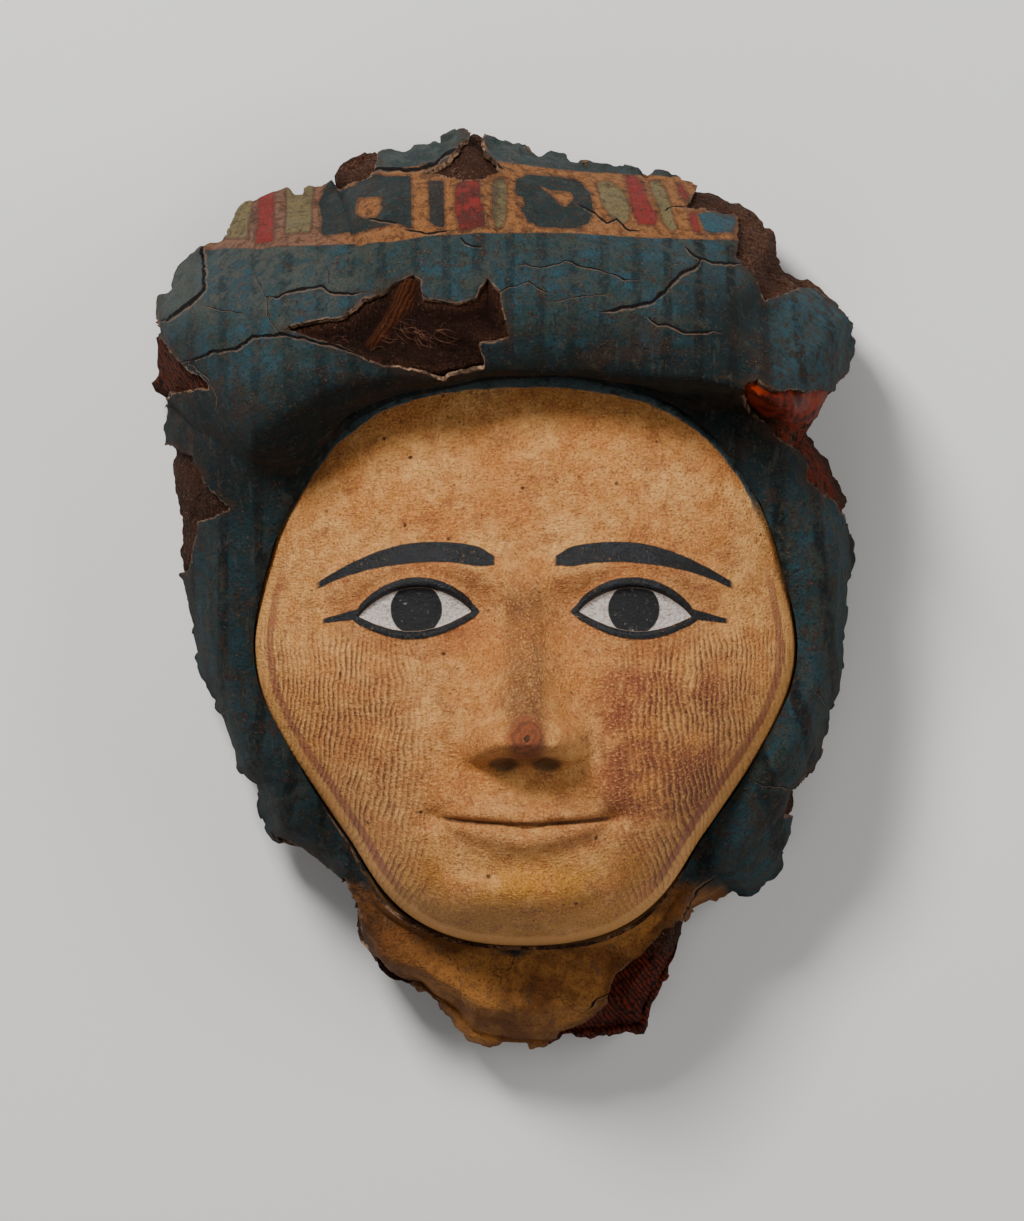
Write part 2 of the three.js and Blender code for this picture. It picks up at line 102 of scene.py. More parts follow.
# The headdress's broken outline, in shares of the face's half width and half height
HEADDRESS_OUTLINE = [
    (1.18, -0.1), (1.19, 0.08), (1.22, 0.36), (1.23, 0.5), (1.19, 0.64), (1.13, 0.73),
    (1.04, 0.83), (1.11, 0.92), (1.16, 1.0), (1.21, 1.12), (1.2, 1.25), (1.1, 1.34),
    (0.97, 1.41), (0.93, 1.54), (0.83, 1.62), (0.65, 1.67), (0.44, 1.74), (0.13, 1.81),
    (-0.16, 1.87), (-0.23, 1.9), (-0.37, 1.84), (-0.59, 1.82), (-0.69, 1.77), (-0.7, 1.7),
    (-0.78, 1.68), (-1.04, 1.62), (-1.15, 1.51), (-1.28, 1.41), (-1.36, 1.29), (-1.38, 1.12),
    (-1.38, 1.0), (-1.32, 0.93), (-1.35, 0.84), (-1.33, 0.75), (-1.29, 0.5), (-1.26, 0.32),
    (-1.23, 0.08), (-1.16, -0.13), (-1.09, -0.38), (-1.0, -0.43), (-0.95, -0.62), (-0.84, -0.65),
    (-0.67, -0.78), (-0.63, -0.86), (-0.62, -1.0), (-0.52, -1.14), (-0.39, -1.18), (-0.24, -1.29),
    (-0.2, -1.36), (0.02, -1.37), (0.24, -1.35), (0.44, -1.33), (0.48, -1.22), (0.57, -1.07),
    (0.62, -0.89), (0.78, -0.82), (0.85, -0.83), (0.93, -0.76), (0.96, -0.66), (1.01, -0.54),
    (1.02, -0.45), (1.09, -0.36), (1.13, -0.21),
]

# Places where the plaster is lost, in the same shares
PLASTER_LOSSES = {
    "front_of_roll": [
        (-0.88, 1.16), (-0.66, 1.2), (-0.56, 1.27), (-0.42, 1.35), (-0.38, 1.33), (-0.37, 1.27),
        (-0.26, 1.25), (-0.17, 1.27), (-0.14, 1.34), (-0.1, 1.29), (-0.06, 1.15), (-0.17, 1.13),
        (-0.16, 1.06), (-0.31, 1.02), (-0.56, 1.06), (-0.68, 1.1),
    ],
    "right_of_crown": [
        (0.64, 1.8), (0.63, 1.65), (0.59, 1.58), (0.78, 1.55), (0.77, 1.41), (0.84, 1.32),
        (0.87, 1.25), (0.98, 1.29), (1.06, 1.3), (1.13, 1.25), (1.19, 1.19), (1.4, 1.19),
        (1.4, 1.6), (1.0, 1.8),
    ],
    "left_of_crown": [
        (-0.8, 1.9), (-0.51, 1.84), (-0.54, 1.77), (-0.56, 1.68), (-0.68, 1.66), (-0.78, 1.72),
    ],
    "top_of_crown": [
        (-0.3, 2.0), (-0.21, 1.82), (-0.27, 1.74), (-0.37, 1.7), (-0.2, 1.68), (-0.09, 1.7),
        (-0.17, 1.8), (-0.1, 2.0),
    ],
    "left_side": [
        (-1.5, 1.31), (-1.34, 1.26), (-1.33, 1.14), (-1.2, 1.02), (-1.15, 0.97), (-1.33, 0.94),
        (-1.5, 0.96),
    ],
    "left_temple": [
        (-1.5, 0.78), (-1.3, 0.77), (-1.21, 0.73), (-1.14, 0.61), (-1.08, 0.54), (-1.18, 0.49),
        (-1.2, 0.36), (-1.26, 0.29), (-1.5, 0.35),
    ],
    "right_side": [
        (0.87, 0.88), (0.91, 0.8), (0.97, 0.76), (1.02, 0.7), (1.03, 0.63), (1.08, 0.58), (1.12, 0.56),
        (1.15, 0.5), (1.18, 0.46), (1.5, 0.42), (1.5, 0.84), (1.02, 0.92),
    ],
    "under_the_roll": [
        (0.8, 0.965), (0.85, 0.98), (0.9, 0.945), (0.95, 0.955), (1.01, 0.95), (1.06, 0.97), (1.11, 0.965),
        (1.15, 1.01), (1.19, 1.06), (1.23, 1.11), (1.4, 1.07), (1.27, 0.93), (1.16, 0.84), (1.06, 0.8),
        (0.98, 0.79), (0.92, 0.83), (0.85, 0.88),
    ],
    "right_jaw": [
        (0.94, -0.53), (0.96, -0.45), (1.02, -0.38), (1.07, -0.36), (1.08, -0.28), (1.12, -0.21),
        (1.4, -0.2), (1.3, -0.6),
    ],
    "left_of_throat": [
        (-0.9, -0.6), (-0.79, -0.65), (-0.65, -0.75), (-0.6, -0.84), (-0.58, -0.97), (-0.5, -1.06),
        (-0.43, -1.1), (-0.34, -1.16), (-0.4, -1.3), (-0.7, -1.1), (-0.8, -0.8),
    ],
    "throat": [
        (0.0, -1.5), (0.03, -1.37), (0.13, -1.28), (0.21, -1.25), (0.3, -1.18), (0.34, -1.1), (0.43, -1.04),
        (0.5, -0.95), (0.6, -0.87), (0.75, -0.95), (0.7, -1.3), (0.5, -1.5),
    ],
}

# Cracks through the plaster, in millimetres from the middle of the face: half width, how far the plaster
# above the crack stands over the plaster below it, and the route from left to right
CRACKS = {
    "left_flap": (0.5, 0.9, [(-109, 103), (-104, 104), (-100, 107), (-96, 111), (-96, 119), (-97, 127)]),
    "left_high": (0.34, 0.5, [(-77, 109), (-74, 109), (-70, 111), (-61, 112), (-57, 110), (-48, 110)]),
    "left_fine": (0.1, 0, [(-82, 122), (-80, 114), (-77, 109), (-77, 104), (-76, 101), (-71, 97)]),
    "left_low": (0.36, 1.3, [
        (-103, 90), (-97, 92), (-93, 93), (-86, 94), (-81, 97), (-73, 98), (-67, 97), (-57, 95), (-49, 92),
    ]),
    "left_small": (0.13, 0.3, [(-96, 107), (-90, 105), (-83, 104)]),
    "left_under": (0.16, 0, [(-100, 91), (-94, 86), (-91, 80), (-92, 76)]),
    "band_left": (0.12, 0, [(-86, 132), (-83, 133)]),
    "band_dot": (0.34, 0.3, [(-47, 133), (-42, 132), (-38, 131)]),
    "band_low": (0.3, 0.3, [(-36, 129), (-30, 128), (-22, 129)]),
    "under_band": (0.3, 0.3, [(-19, 127), (-17, 125), (-13, 124)]),
    "crown_left": (0.5, 0.8, [
        (-48, 145), (-44, 147), (-40, 147), (-32, 147), (-26, 149), (-23, 152), (-18, 154),
    ]),
    "crown_right": (0.6, 0.6, [(-14, 158), (-15, 155), (-11, 150), (-7, 147)]),
    "crown_fine": (0.14, 0, [(-6, 151), (-2, 149), (5, 149)]),
    "middle_high": (0.2, 0.35, [
        (-3, 119), (5, 118), (12, 120), (17, 118), (23, 117), (30, 114), (34, 114),
    ]),
    "middle": (0.18, 0.3, [(-10, 110), (-5, 112), (1, 114), (6, 111), (8, 111)]),
    "middle_low": (0.13, 0, [(7, 108), (13, 109), (20, 110), (26, 110)]),
    "right_main": (0.5, 1.1, [
        (23, 105), (30, 106), (36, 107), (39, 108), (44, 113), (47, 116), (51, 118), (53, 121),
    ]),
    "right_low": (0.3, 0.7, [(36, 104), (40, 101), (43, 101), (48, 99), (58, 99)]),
    "right_high": (0.36, 0.5, [(48, 124), (51, 121), (54, 120), (58, 119), (64, 119)]),
    "band_right": (0.3, 0.3, [(15, 137), (21, 134), (25, 131), (27, 132), (31, 129), (35, 129)]),
    "band_slant": (0.26, 0.3, [(41, 135), (44, 136), (48, 136)]),
    "throat_left": (0.14, 0, [(-40, -92), (-33, -97), (-30, -104)]),
    "throat_right": (0.2, 0.3, [(18, -104), (24, -100), (33, -98), (38, -92)]),
    "jaw_left": (0.14, 0, [(-80, -50), (-77, -56), (-78, -62)]),
    "side_right": (0.16, 0, [(86, -8), (92, -14), (91, -22)]),
    "lappet_right": (0.3, 0.4, [(70, -36), (76, -37), (81, -39), (87, -38)]),
    "throat_seam": (0.2, 0.3, [(57, -63), (51.5, -67.5), (45, -77)]),
    "lappet_left": (0.16, 0.2, [(-97, -12), (-92, -15), (-88, -14)]),
}

# The smooth orange-brown remnant under the roll's right end, in millimetres from the middle of the face
ROLL_UNDERSIDE = [
    (62, 84), (70, 86), (83, 86), (93, 88), (98, 95), (108, 98), (106, 84), (98, 75.5), (91, 72.5),
    (80, 72.5), (72, 75.5), (65, 79.5),
]

# Below this line the surface is set back under the roll, as far as the lappets. The roll's foot runs
# from the left notch round the forehead to the roll's right end.
UNDER_ROLL = [
    (-140, 84), (-109, 83.5), (-103, 80), (-97, 74), (-90, 66), (-83, 61.5), (-76, 64), (-69, 70),
    (-59, 76.5), (-48, 81), (-36, 84), (-14, 86.5), (20, 86.5), (38, 85.5), (53, 83.5), (66, 80.5),
    (74, 76.5), (81, 74), (89.5, 74), (94, 77.5), (98, 85), (100, 91), (140, 92), (140, -160),
    (-140, -160),
]
FOOT_SOFT = [(-109, 9), (-80, 11), (-60, 9.5), (-42, 5), (-30, 3.4), (60, 3), (110, 2.6)]

# The painted band that crosses the top of the roll, and its blocks, each with the name of its colour
BAND = [
    (-101.4, 122.9), (-86.3, 123.8), (-60.5, 124.4), (-37.8, 125.9), (-33.3, 126.8), (-25.7, 127.7),
    (-13.6, 128.3), (10.6, 128.3), (34.8, 126.8), (53.0, 126.2), (71.1, 125.9), (71.1, 144.7),
    (49.9, 144.7), (28.8, 145.9), (16.6, 146.5), (-7.6, 149.5), (-10.6, 148.9), (-25.7, 148.9),
    (-37.8, 147.1), (-54.5, 144.4), (-101.4, 142.9),
]
BLOCKS = [
    ("olive", [
        (-88.1, 136.6), (-84.7, 140.4), (-82.0, 140.4), (-82.1, 127.2), (-91.0, 126.6), (-90.2, 132.2),
    ]),
    ("red", [(-80.5, 140.8), (-75.4, 140.8), (-75.5, 125.4), (-79.9, 125.7)]),
    ("olive", [(-71.8, 142), (-63.7, 143.6), (-63.9, 136), (-64.6, 128.4), (-72.1, 127.8), (-71.8, 136)]),
    ("slate", [
        (-62.3, 136.6), (-60.4, 140.7), (-58.7, 143.9), (-56.3, 144.7), (-51.7, 142.4), (-45.2, 145.3),
        (-34.4, 145.3), (-34.1, 128.9), (-38.2, 131.3), (-48.7, 128.9), (-61.0, 127.2), (-61.0, 131.9),
    ]),
    ("slate", [(-29.1, 143.9), (-23.6, 144.2), (-23.9, 129.5), (-27.1, 130.1), (-28.8, 131.3)]),
    ("red", [
        (-20.3, 142.3), (-15.7, 146.5), (-14.2, 142.9), (-14.2, 138.3), (-12.7, 135.3), (-12.4, 130.2),
        (-19.1, 129.0), (-20.6, 135.3),
    ]),
    ("olive", [
        (-9.7, 144.4), (-6.7, 144.7), (-5.4, 141.7), (-5.6, 133.8), (-6.7, 130.2), (-9.4, 129.6),
        (-10.7, 134.4), (-10.7, 141.1),
    ]),
    ("slate", [
        (-3.0, 144.4), (0.3, 145.8), (9.4, 145.2), (16.6, 143.5), (19.7, 139.8), (20.4, 135.0),
        (19.1, 130.8), (14.2, 129.3), (4.5, 129.9), (0.9, 131.4), (-2.1, 136.2), (-3.5, 141.7),
    ]),
    ("olive", [
        (21.2, 143.5), (25.1, 143.8), (28.8, 141.1), (31.2, 135.6), (31.2, 132.0), (29.4, 130.8),
        (25.7, 132.6), (23.3, 136.8), (21.5, 141.1),
    ]),
    ("red", [
        (29.5, 145.2), (31.8, 145.9), (35.1, 143.5), (36.9, 139.2), (39.4, 132.6), (38.4, 130.5),
        (34.2, 130.5), (32.1, 134.4), (30.6, 139.8),
    ]),
    ("olive", [
        (37.5, 143.5), (40.3, 143.5), (43.3, 136.8), (45.4, 129.6), (43.9, 128.3), (40.9, 131.4),
        (39.4, 136.8), (37.8, 141.1),
    ]),
    ("red", [(44.8, 143.2), (46.9, 142.9), (49.0, 139.2), (47.8, 137.3), (46.3, 139.8)]),
    ("red", [(49.0, 134.4), (51.5, 134.4), (53.0, 128.0), (50.9, 128.3), (49.3, 131.4)]),
    ("bright_blue", [
        (52.1, 133.8), (56.0, 134.6), (62.7, 133.5), (63.7, 132.0), (62.1, 128.0), (53.9, 128.3),
    ]),
]
BARE_MARKS = [
    [
        (-49.6, 138.9), (-42.9, 139.2), (-42.8, 135.4), (-44.3, 133), (-47.6, 132.8), (-49.9, 134.2),
        (-50.1, 136.6),
    ],
    [(4.5, 142.3), (6.4, 141.1), (13.3, 140.5), (14.3, 138.3), (11.8, 136.1), (9.7, 136.8), (7.9, 139.2)],
    [(-3.2, 139), (-1, 139.2), (-0.6, 136.2), (-2.6, 136)],
]

# The lighter ridge of packed fibre that crosses the pocket in the front of the roll
FIBRE_RIDGE = [(-33, 115), (-36, 116), (-41, 109), (-49, 97), (-46, 95), (-40, 103), (-34, 109)]

# Loose fibres in the pocket: where each tuft starts, which way it points in degrees, and how many fibres
TUFTS = [
    ((-38, 103), -25, 9), ((-33, 101), -40, 11), ((-27, 99), -15, 8), ((-44, 99), 10, 6),
    ((-58, 97), 20, 4),
]

# The plaster is made in four pieces, each between two directions round the face
PLATES = {
    "roll_plaster": (40, 146), "left_plaster": (146, 222), "throat_plaster": (222, 318),
    "right_plaster": (318, 40),
}

# Sections of the headdress, from the plaster's line beside the face to the outer edge.
# Each point is a share of the way out and a share of that section's own level.
ROLL_SECTION = [
    (0, 0.87), (0.06, 0.95), (0.2, 1.0), (0.36, 0.965), (0.51, 0.88), (0.67, 0.75), (0.81, 0.6),
    (0.92, 0.42),
]
SIDE_SECTION = [
    (0, 0.99), (0.2, 1.0), (0.4, 0.96), (0.57, 0.88), (0.71, 0.76), (0.84, 0.63), (0.93, 0.48),
    (0.98, 0.37),
]
THROAT_SECTION = [
    (0, 0.98), (0.17, 0.96), (0.33, 0.975), (0.49, 0.975), (0.64, 0.95), (0.77, 0.88),
    (0.88, 0.77), (0.95, 0.62),
]
RIM_TUCK = 0.02
INNER_POINTS = [2, 3, 4, 6, 8]

# Places along the section, counted in its points from the face to the rear rim
PLASTER_START = 0.12
RAGGED_EDGE = 8.95
PLASTER_END = 9.6
RIM_END = 10

# Rows of the linen's inner side, and the share of all stations that smooths the directions
INNER_ROWS = 57
FAN_SMOOTHING = 0.045

# How near to a broken line a grid point slides onto it, and how far at most, in cells
SNAP_REACH = 0.68
SNAP_MOVE = 0.6

# Heights of the finer forms, and the furthest that the fields of cracks and of paint are measured
POCKET_DEPTH = 4.2
RIDGE_HEIGHT = 3.6
CURL_HEIGHT = 0.8
CRACK_FAR = 9.0
FIELD_REACH = 5

# The shares of a crack's width and step that are modelled, and how far behind the crack the step fades
CRACK_OPENING = 0.75
CRACK_STEP = 0.6
STEP_REACH = 7.0

# The drawing-book canon of the face: three equal thirds and five eye widths
THIRD = 172.0 / 3
EYE = 164.0 / 5
BROW_LINE = 86.0 - THIRD
EYE_LINE = 86.0 - 1.25 * THIRD
NOSE_LINE = BROW_LINE - THIRD
MOUTH_LINE = NOSE_LINE - THIRD / 3
CHIN_LINE = -86.0
MOUTH_HALF = EYE * 0.8
MOUTH_BOW = 0.0026
LID_HALF = EYE * 0.52
UPPER_LID, LOWER_LID, LID_TILT = 8.3, 5.2, 0.8

# Stage
FLOOR_HALF = 3.0
SKY = 0.1
SENSOR = 36
AIM = (0, 0, 0.06)

# Dark places in the finishes, some of them painted shade in hollows, and the painted lip beside the face,
# as linear light
PIT = (0.04, 0.016, 0.008)
KNOT_HEART = (0.012, 0.006, 0.004)
NOSTRIL_SHADE = (0.04, 0.018, 0.01)
MOUTH_CREASE_SHADE = (0.05, 0.02, 0.01)
CLOD_SHADOW = (0.006, 0.003, 0.002)
LAYER_GAP = (0.005, 0.0018, 0.001)
POCKET_SHADE = (0.0095, 0.0028, 0.0015)
LIP_HAIR = (0.02, 0.03, 0.032)
LIP_FLESH = (0.26, 0.13, 0.045)
CRACK_DARK = (0.008, 0.005, 0.004)
STAIN = (0.03, 0.016, 0.01)


# Numbers worked out over whole arrays


def smooth(start, end, value):
    """Rises from 0 at start to 1 at end: t squared times (3 - 2 t) of the share t of the way."""
    t = np.clip((value - start) / (end - start), 0, 1)
    return t * t * (3 - 2 * t)


def crest(distance, width):
    """A bell: e to the minus square of distance over width."""
    return np.exp(-((distance / width) ** 2))


def mound(x, y, at, size, power=2.0):
    """A bell over the plane: e to the minus sum of both offsets over their sizes, each to a power."""
    across = np.abs((x - at[0]) / size[0]) ** power
    return np.exp(-across - np.abs((y - at[1]) / size[1]) ** power)


def lattice(cell, seed):
    """A random number from 0 to 1 for each whole-number cell, from its three indices mixed together."""
    mixed = cell[..., 0] * 73856093 ^ cell[..., 1] * 19349663 ^ cell[..., 2] * 83492791 ^ seed * 40503
    mixed = (mixed ^ (mixed >> 13)) * 1274126177 & 0xFFFFFFFF
    return (mixed ^ (mixed >> 16)) / 2**32


def noise(points, size, seed):
    """Noise from -1 to 1: random numbers at the corners of cubes of that size, blended smoothly inside."""
    place = points / size
    cell = np.floor(place).astype(np.int64)
    share = place - cell
    share = share * share * (3 - 2 * share)
    total = 0
    for corner in np.ndindex(2, 2, 2):
        corner = np.array(corner)
        weight = np.prod(np.where(corner, share, 1 - share), axis=-1)
        total = total + weight * lattice(cell + corner, seed)
    return 2 * total - 1


def rough(points, size, seed, octaves=3):
    """Noise added to itself at half the size and half the strength, a few times over."""
    return sum(noise(points, size / 2**k, seed + k) / 2**k for k in range(octaves))


def inside_distance(places, outline):
    """Distance to a closed outline, positive inside. The nearest side gives the distance, and the number
    of sides that a line to the right crosses gives the sign."""
    start = np.asarray(outline, float)
    end = np.roll(start, -1, axis=0)
    side = end - start
    offset = places[..., None, :] - start
    share = np.clip((offset * side).sum(-1) / (side**2).sum(-1), 0, 1)
    nearest = np.linalg.norm(offset - share[..., None] * side, axis=-1).min(-1)
    x, y = places[..., None, 0], places[..., None, 1]
    spans = (start[:, 1] > y) != (end[:, 1] > y)
    rise = np.where(side[:, 1] == 0, 1, side[:, 1])
    crosses = spans & (x < start[:, 0] + (y - start[:, 1]) * side[:, 0] / rise)
    return np.where(crosses.sum(-1) % 2, nearest, -nearest)


def crack_fields(places):
    """Three fields from the cracks: the distance to the nearest one less its half width; the same crack's
    distance in half widths, positive above it; and the steps of all cracks, each of which lifts the
    plaster above it by a share of its height times e to the minus distance over a reach, fading at both
    ends."""
    near = np.full(places.shape[:-1], CRACK_FAR)
    side = near.copy()
    raised = np.zeros(places.shape[:-1])
    for half_width, height, route in CRACKS.values():
        route = np.array(route, float)
        low, high = route.min(0) - 3 * STEP_REACH, route.max(0) + 3 * STEP_REACH
        close = ((places > low) & (places < high)).all(-1)
        place = places[close]
        start, way = route[:-1], np.diff(route, axis=0)
        length = np.linalg.norm(way, axis=1)
        offset = place[:, None] - start
        share = np.clip((offset * way).sum(-1) / length**2, 0, 1)
        gap = np.linalg.norm(offset - share[..., None] * way, axis=-1)
        turn = way[:, 0] * offset[..., 1] - way[:, 1] * offset[..., 0]
        pick = gap.argmin(-1)[:, None]
        gap = np.take_along_axis(gap, pick, -1)[:, 0]
        above = np.sign(np.take_along_axis(turn, pick, -1)[:, 0])
        along = (np.cumsum(length) - length)[pick] + np.take_along_axis(share * length, pick, -1)
        along = along[:, 0] / length.sum()
        taper = smooth(0, 0.12, along) * smooth(1, 0.88, along)
        width = CRACK_OPENING * half_width * (0.35 + 0.65 * taper)
        raised[close] += CRACK_STEP * height * taper * (above > 0) * np.exp(-gap / STEP_REACH)
        closer = gap - width < near[close]
        near[close] = np.where(closer, gap - width, near[close])
        side[close] = np.where(closer, above * gap / width, side[close])
    return near, side, raised


def seen_from_front(points):
    """Where the camera straight above sees each point, on the level where the scale is set: offsets from
    the point under the camera grow as the camera's distance over its height above the point."""
    distance = settings("stage").camera_distance / MM
    scale = distance / (distance + VIEW_LEVEL - points[..., 2:])
    return VIEW_MIDDLE + (points[..., :2] - VIEW_MIDDLE) * scale


def grid_normals(points):
    """Unit normals of a grid that meets itself in the first direction: the cross product of its outward
    and its onward differences."""
    onward = np.roll(points, -1, axis=0) - np.roll(points, 1, axis=0)
    normal = np.cross(np.gradient(points, axis=1), onward)
    return normal / np.maximum(np.linalg.norm(normal, axis=-1, keepdims=True), 1e-9)


# Shape of the face


def oval_radius(angle):
    """Radius of the face's egg shape in a direction: an oval of changing power, narrower at the jaw."""
    c, s = np.cos(angle), np.sin(angle)
    power = 2 + 0.4 * smooth(0.2, 1, s) + 0.35 * smooth(-0.7, -1, s)
    half = HALF_WIDTH * (1 - 0.18 * smooth(0.1, -0.8, s))
    return (np.abs(c / half) ** power + np.abs(s / HALF_HEIGHT) ** power) ** (-1 / power)


def edge_level(angle):
    """Level of the wood's front edge: highest at the forehead, lowest at the chin."""
    s = np.sin(angle)
    to_brow = (BROW_EDGE_LEVEL - TEMPLE_EDGE_LEVEL) * smooth(0.1, 1, s)
    return TEMPLE_EDGE_LEVEL + to_brow + (CHIN_EDGE_LEVEL - TEMPLE_EDGE_LEVEL) * smooth(-0.3, -1, s)


def lid_lines(q, open_share):
    """Upper and lower lid lines, for the mesh and for the paint: each stands off the eye's line by a
    height times a power of the open share, and both tilt."""
    middle = EYE_LINE - q * LID_TILT
    return middle + open_share**0.85 * UPPER_LID, middle - open_share**1.1 * LOWER_LID


def lids(x):
    """The share q of the way from an almond eye's middle, and its upper and lower lid lines."""
    q = (x - EYE) / LID_HALF
    open_share = np.maximum(1 - q * q, 0)
    return q, *lid_lines(q, open_share)


def eye_relief(x, y):
    """An eyeball, flattened between raised lid edges, with a crease over the upper lid."""
    q, upper, lower = lids(x)
    near = smooth(1.25, 0.8, np.abs(q))
    z = 5.6 * mound(x, y, (EYE, EYE_LINE + 0.5), (17.5, 10.5), 2.2)
    z -= 0.9 * smooth(-0.6, 0.6, upper - y) * smooth(-0.6, 0.6, y - lower) * (np.abs(q) < 1)
    z += 0.9 * crest(y - upper - 1, 1.5) * near + 0.6 * crest(y - lower + 0.9, 1.3) * near
    return z - 0.6 * crest(y - upper - 5, 1.3) * near


def nose_relief(x, y):
    """A ridge that widens and rises to the tip, with two wings and two nostrils."""
    down = np.clip((BROW_LINE - 2 - y) / (THIRD - 8), 0, 1)
    half = 6.8 + 3 * down**2
    under = smooth(NOSE_LINE - 3.6, NOSE_LINE + 5, y)
    over = smooth(BROW_LINE + 14, BROW_LINE - 12, y)
    z = (2.6 + 15 * down**1.25) * np.exp(-((x / half) ** 2.3)) * under * over
    z += 4 * mound(x, y, (0, NOSE_LINE + 6), (9.5, 8)) * under
    wing = mound(x, y, (11.5, NOSE_LINE + 4.6), (5.6, 6.4), 2.4)
    z += 9.5 * wing * smooth(NOSE_LINE - 4.2, NOSE_LINE + 1.5, y)
    z += 4.2 * mound(x, y, (8, NOSE_LINE + 20), (11, 19)) * under
    return z - 3.4 * mound(x, y, (6.4, NOSE_LINE - 0.8), (3.4, 2.3))


def mouth_relief(x, y):
    """Two lips as bells on each side of a cut line, and a dip at each corner."""
    across = np.maximum(1 - (x / MOUTH_HALF) ** 2, 0)
    above = y - (MOUTH_LINE + MOUTH_BOW * x**2 - 0.9 * crest(x, 5.5))
    upper_height = 7.4 * across**0.8 * (1 - 0.17 * crest(x, 3.4))
    lower_height = 8.6 * across**0.7
    fade = crest(0.42, 0.44) * crest(above, 2)
    upper = np.where(above > 0, crest(above / (upper_height + 0.6) - 0.42, 0.44), fade)
    lower = np.where(above > 0, fade, crest(-above / (lower_height + 0.6) - 0.45, 0.46))
    z = across**1.1 * (3.6 * upper + 4.6 * lower)
    z += 0.7 * across * crest(above - upper_height, 1.1)
    z -= 2.4 * crest(above, 1) * smooth(MOUTH_HALF + 3, MOUTH_HALF - 5, x)
    return z - 3.2 * mound(x, y, (MOUTH_HALF + 0.5, MOUTH_LINE + 1.8), (4.6, 3.4))


def carving(across, y):
    """Relief over the plain face: cheeks, muzzle, brow, sockets, eyes, nose, mouth and chin."""
    x = np.abs(across)
    arch = BROW_LINE - 1 - 0.0065 * (x - EYE * 0.85) ** 2
    z = 5.5 * mound(x, y, (40, -14), (25, 26)) + 6.5 * mound(x, y, (0, MOUTH_LINE + 3), (33, 24))
    z += 3 * crest(y - arch, 6) * smooth(72, 40, x) * smooth(-6, 14, x)
    z -= 5.5 * mound(x, y, (EYE, EYE_LINE + 1.5), (24, 12.5))
    z -= 3.2 * mound(x, y, (EYE * 0.46, EYE_LINE + 0.5), (8, 10))
    z += eye_relief(x, y) + nose_relief(x, y) + mouth_relief(x, y)
    z -= 1.3 * mound(x, y, (0, (NOSE_LINE + MOUTH_LINE) / 2 + 1.5), (2.8, 6.5))
    z -= 3.4 * mound(x, y, (0, MOUTH_LINE - 14.5), (18, 4.6))
    return z + 10 * mound(x, y, (0, CHIN_LINE + 15.5), (24, 12), 2.3)


def face_front(x, y):
    """Level of the face's front: a dome from the edge to the middle, with the carving on it."""
    angle = np.arctan2(y, x)
    share = np.clip(np.hypot(x, y) / oval_radius(angle), 0, 1)
    edge = edge_level(angle)
    brow, chin = smooth(0.1, 1, np.sin(angle)), smooth(-0.3, -1, np.sin(angle))
    dome = (1 - share ** (2.3 + 0.6 * brow + 3.6 * chin)) ** (0.56 - 0.06 * chin)
    return edge + (FACE_LEVEL - edge) * dome + carving(x, y)


def face_back(angle, share):
    """Level of the dished back: one wood thickness behind the edge, rising to the middle."""
    edge = edge_level(angle) - WOOD_EDGE
    return edge + (FACE_LEVEL - WOOD_MIDDLE - edge) * (1 - share**2) ** 0.6


def face_surface(cells):
    """The whole wooden face. The front is a square grid bent into a disc, across = u times the root of
    1 - v squared / 2 and likewise along, stretched over the oval; a wall and a dished back close it."""
    even = np.linspace(-1, 1, cells + 1)
    u = even - 0.22 * np.sin(np.pi * even) / np.pi
    u, v = np.meshgrid(u, u, indexing="xy")
    across, along = u * np.sqrt(1 - v**2 / 2), v * np.sqrt(1 - u**2 / 2)
    angle = np.arctan2(along, across)
    reach = np.minimum(np.hypot(across, along), 1) * oval_radius(angle)
    x, y = reach * np.cos(angle), reach * np.sin(angle)
    front = np.stack([x, y, face_front(x, y)], -1)
    front[..., 2] += 0.12 * rough(front, 7, 5)
    index = np.arange((cells + 1) ** 2).reshape(cells + 1, cells + 1)
    quads = [np.stack([index[:-1, :-1], index[:-1, 1:], index[1:, 1:], index[1:, :-1]], -1).reshape(-1, 4)]
    loop = np.concatenate([index[0, :-1], index[:-1, -1], index[-1, :0:-1], index[:0:-1, 0]])
    points = [front.reshape(-1, 3)]
    rim = points[0][loop]
    rim_angle = np.arctan2(rim[:, 1], rim[:, 0])
    count = len(points[0])
    for share in [1.0, 1.0, 0.985, 0.95, 0.88, 0.78, 0.62, 0.42, 0.2]:
        level = face_back(rim_angle, share)
        if count == len(points[0]):
            level = (rim[:, 2] + level) / 2
        points.append(np.column_stack([rim[:, :2] * share, level]))
        onward = count + np.arange(len(loop))
        quads.append(np.column_stack([loop, onward, np.roll(onward, -1), np.roll(loop, -1)]))
        loop = onward
        count += len(loop)
    points.append([[0, 0, face_back(0.0, 0.0)]])
    fan = np.column_stack([loop, np.full(len(loop), count), np.roll(loop, -1)])
    return np.concatenate(points), np.concatenate(quads), fan


# Shape of the headdress


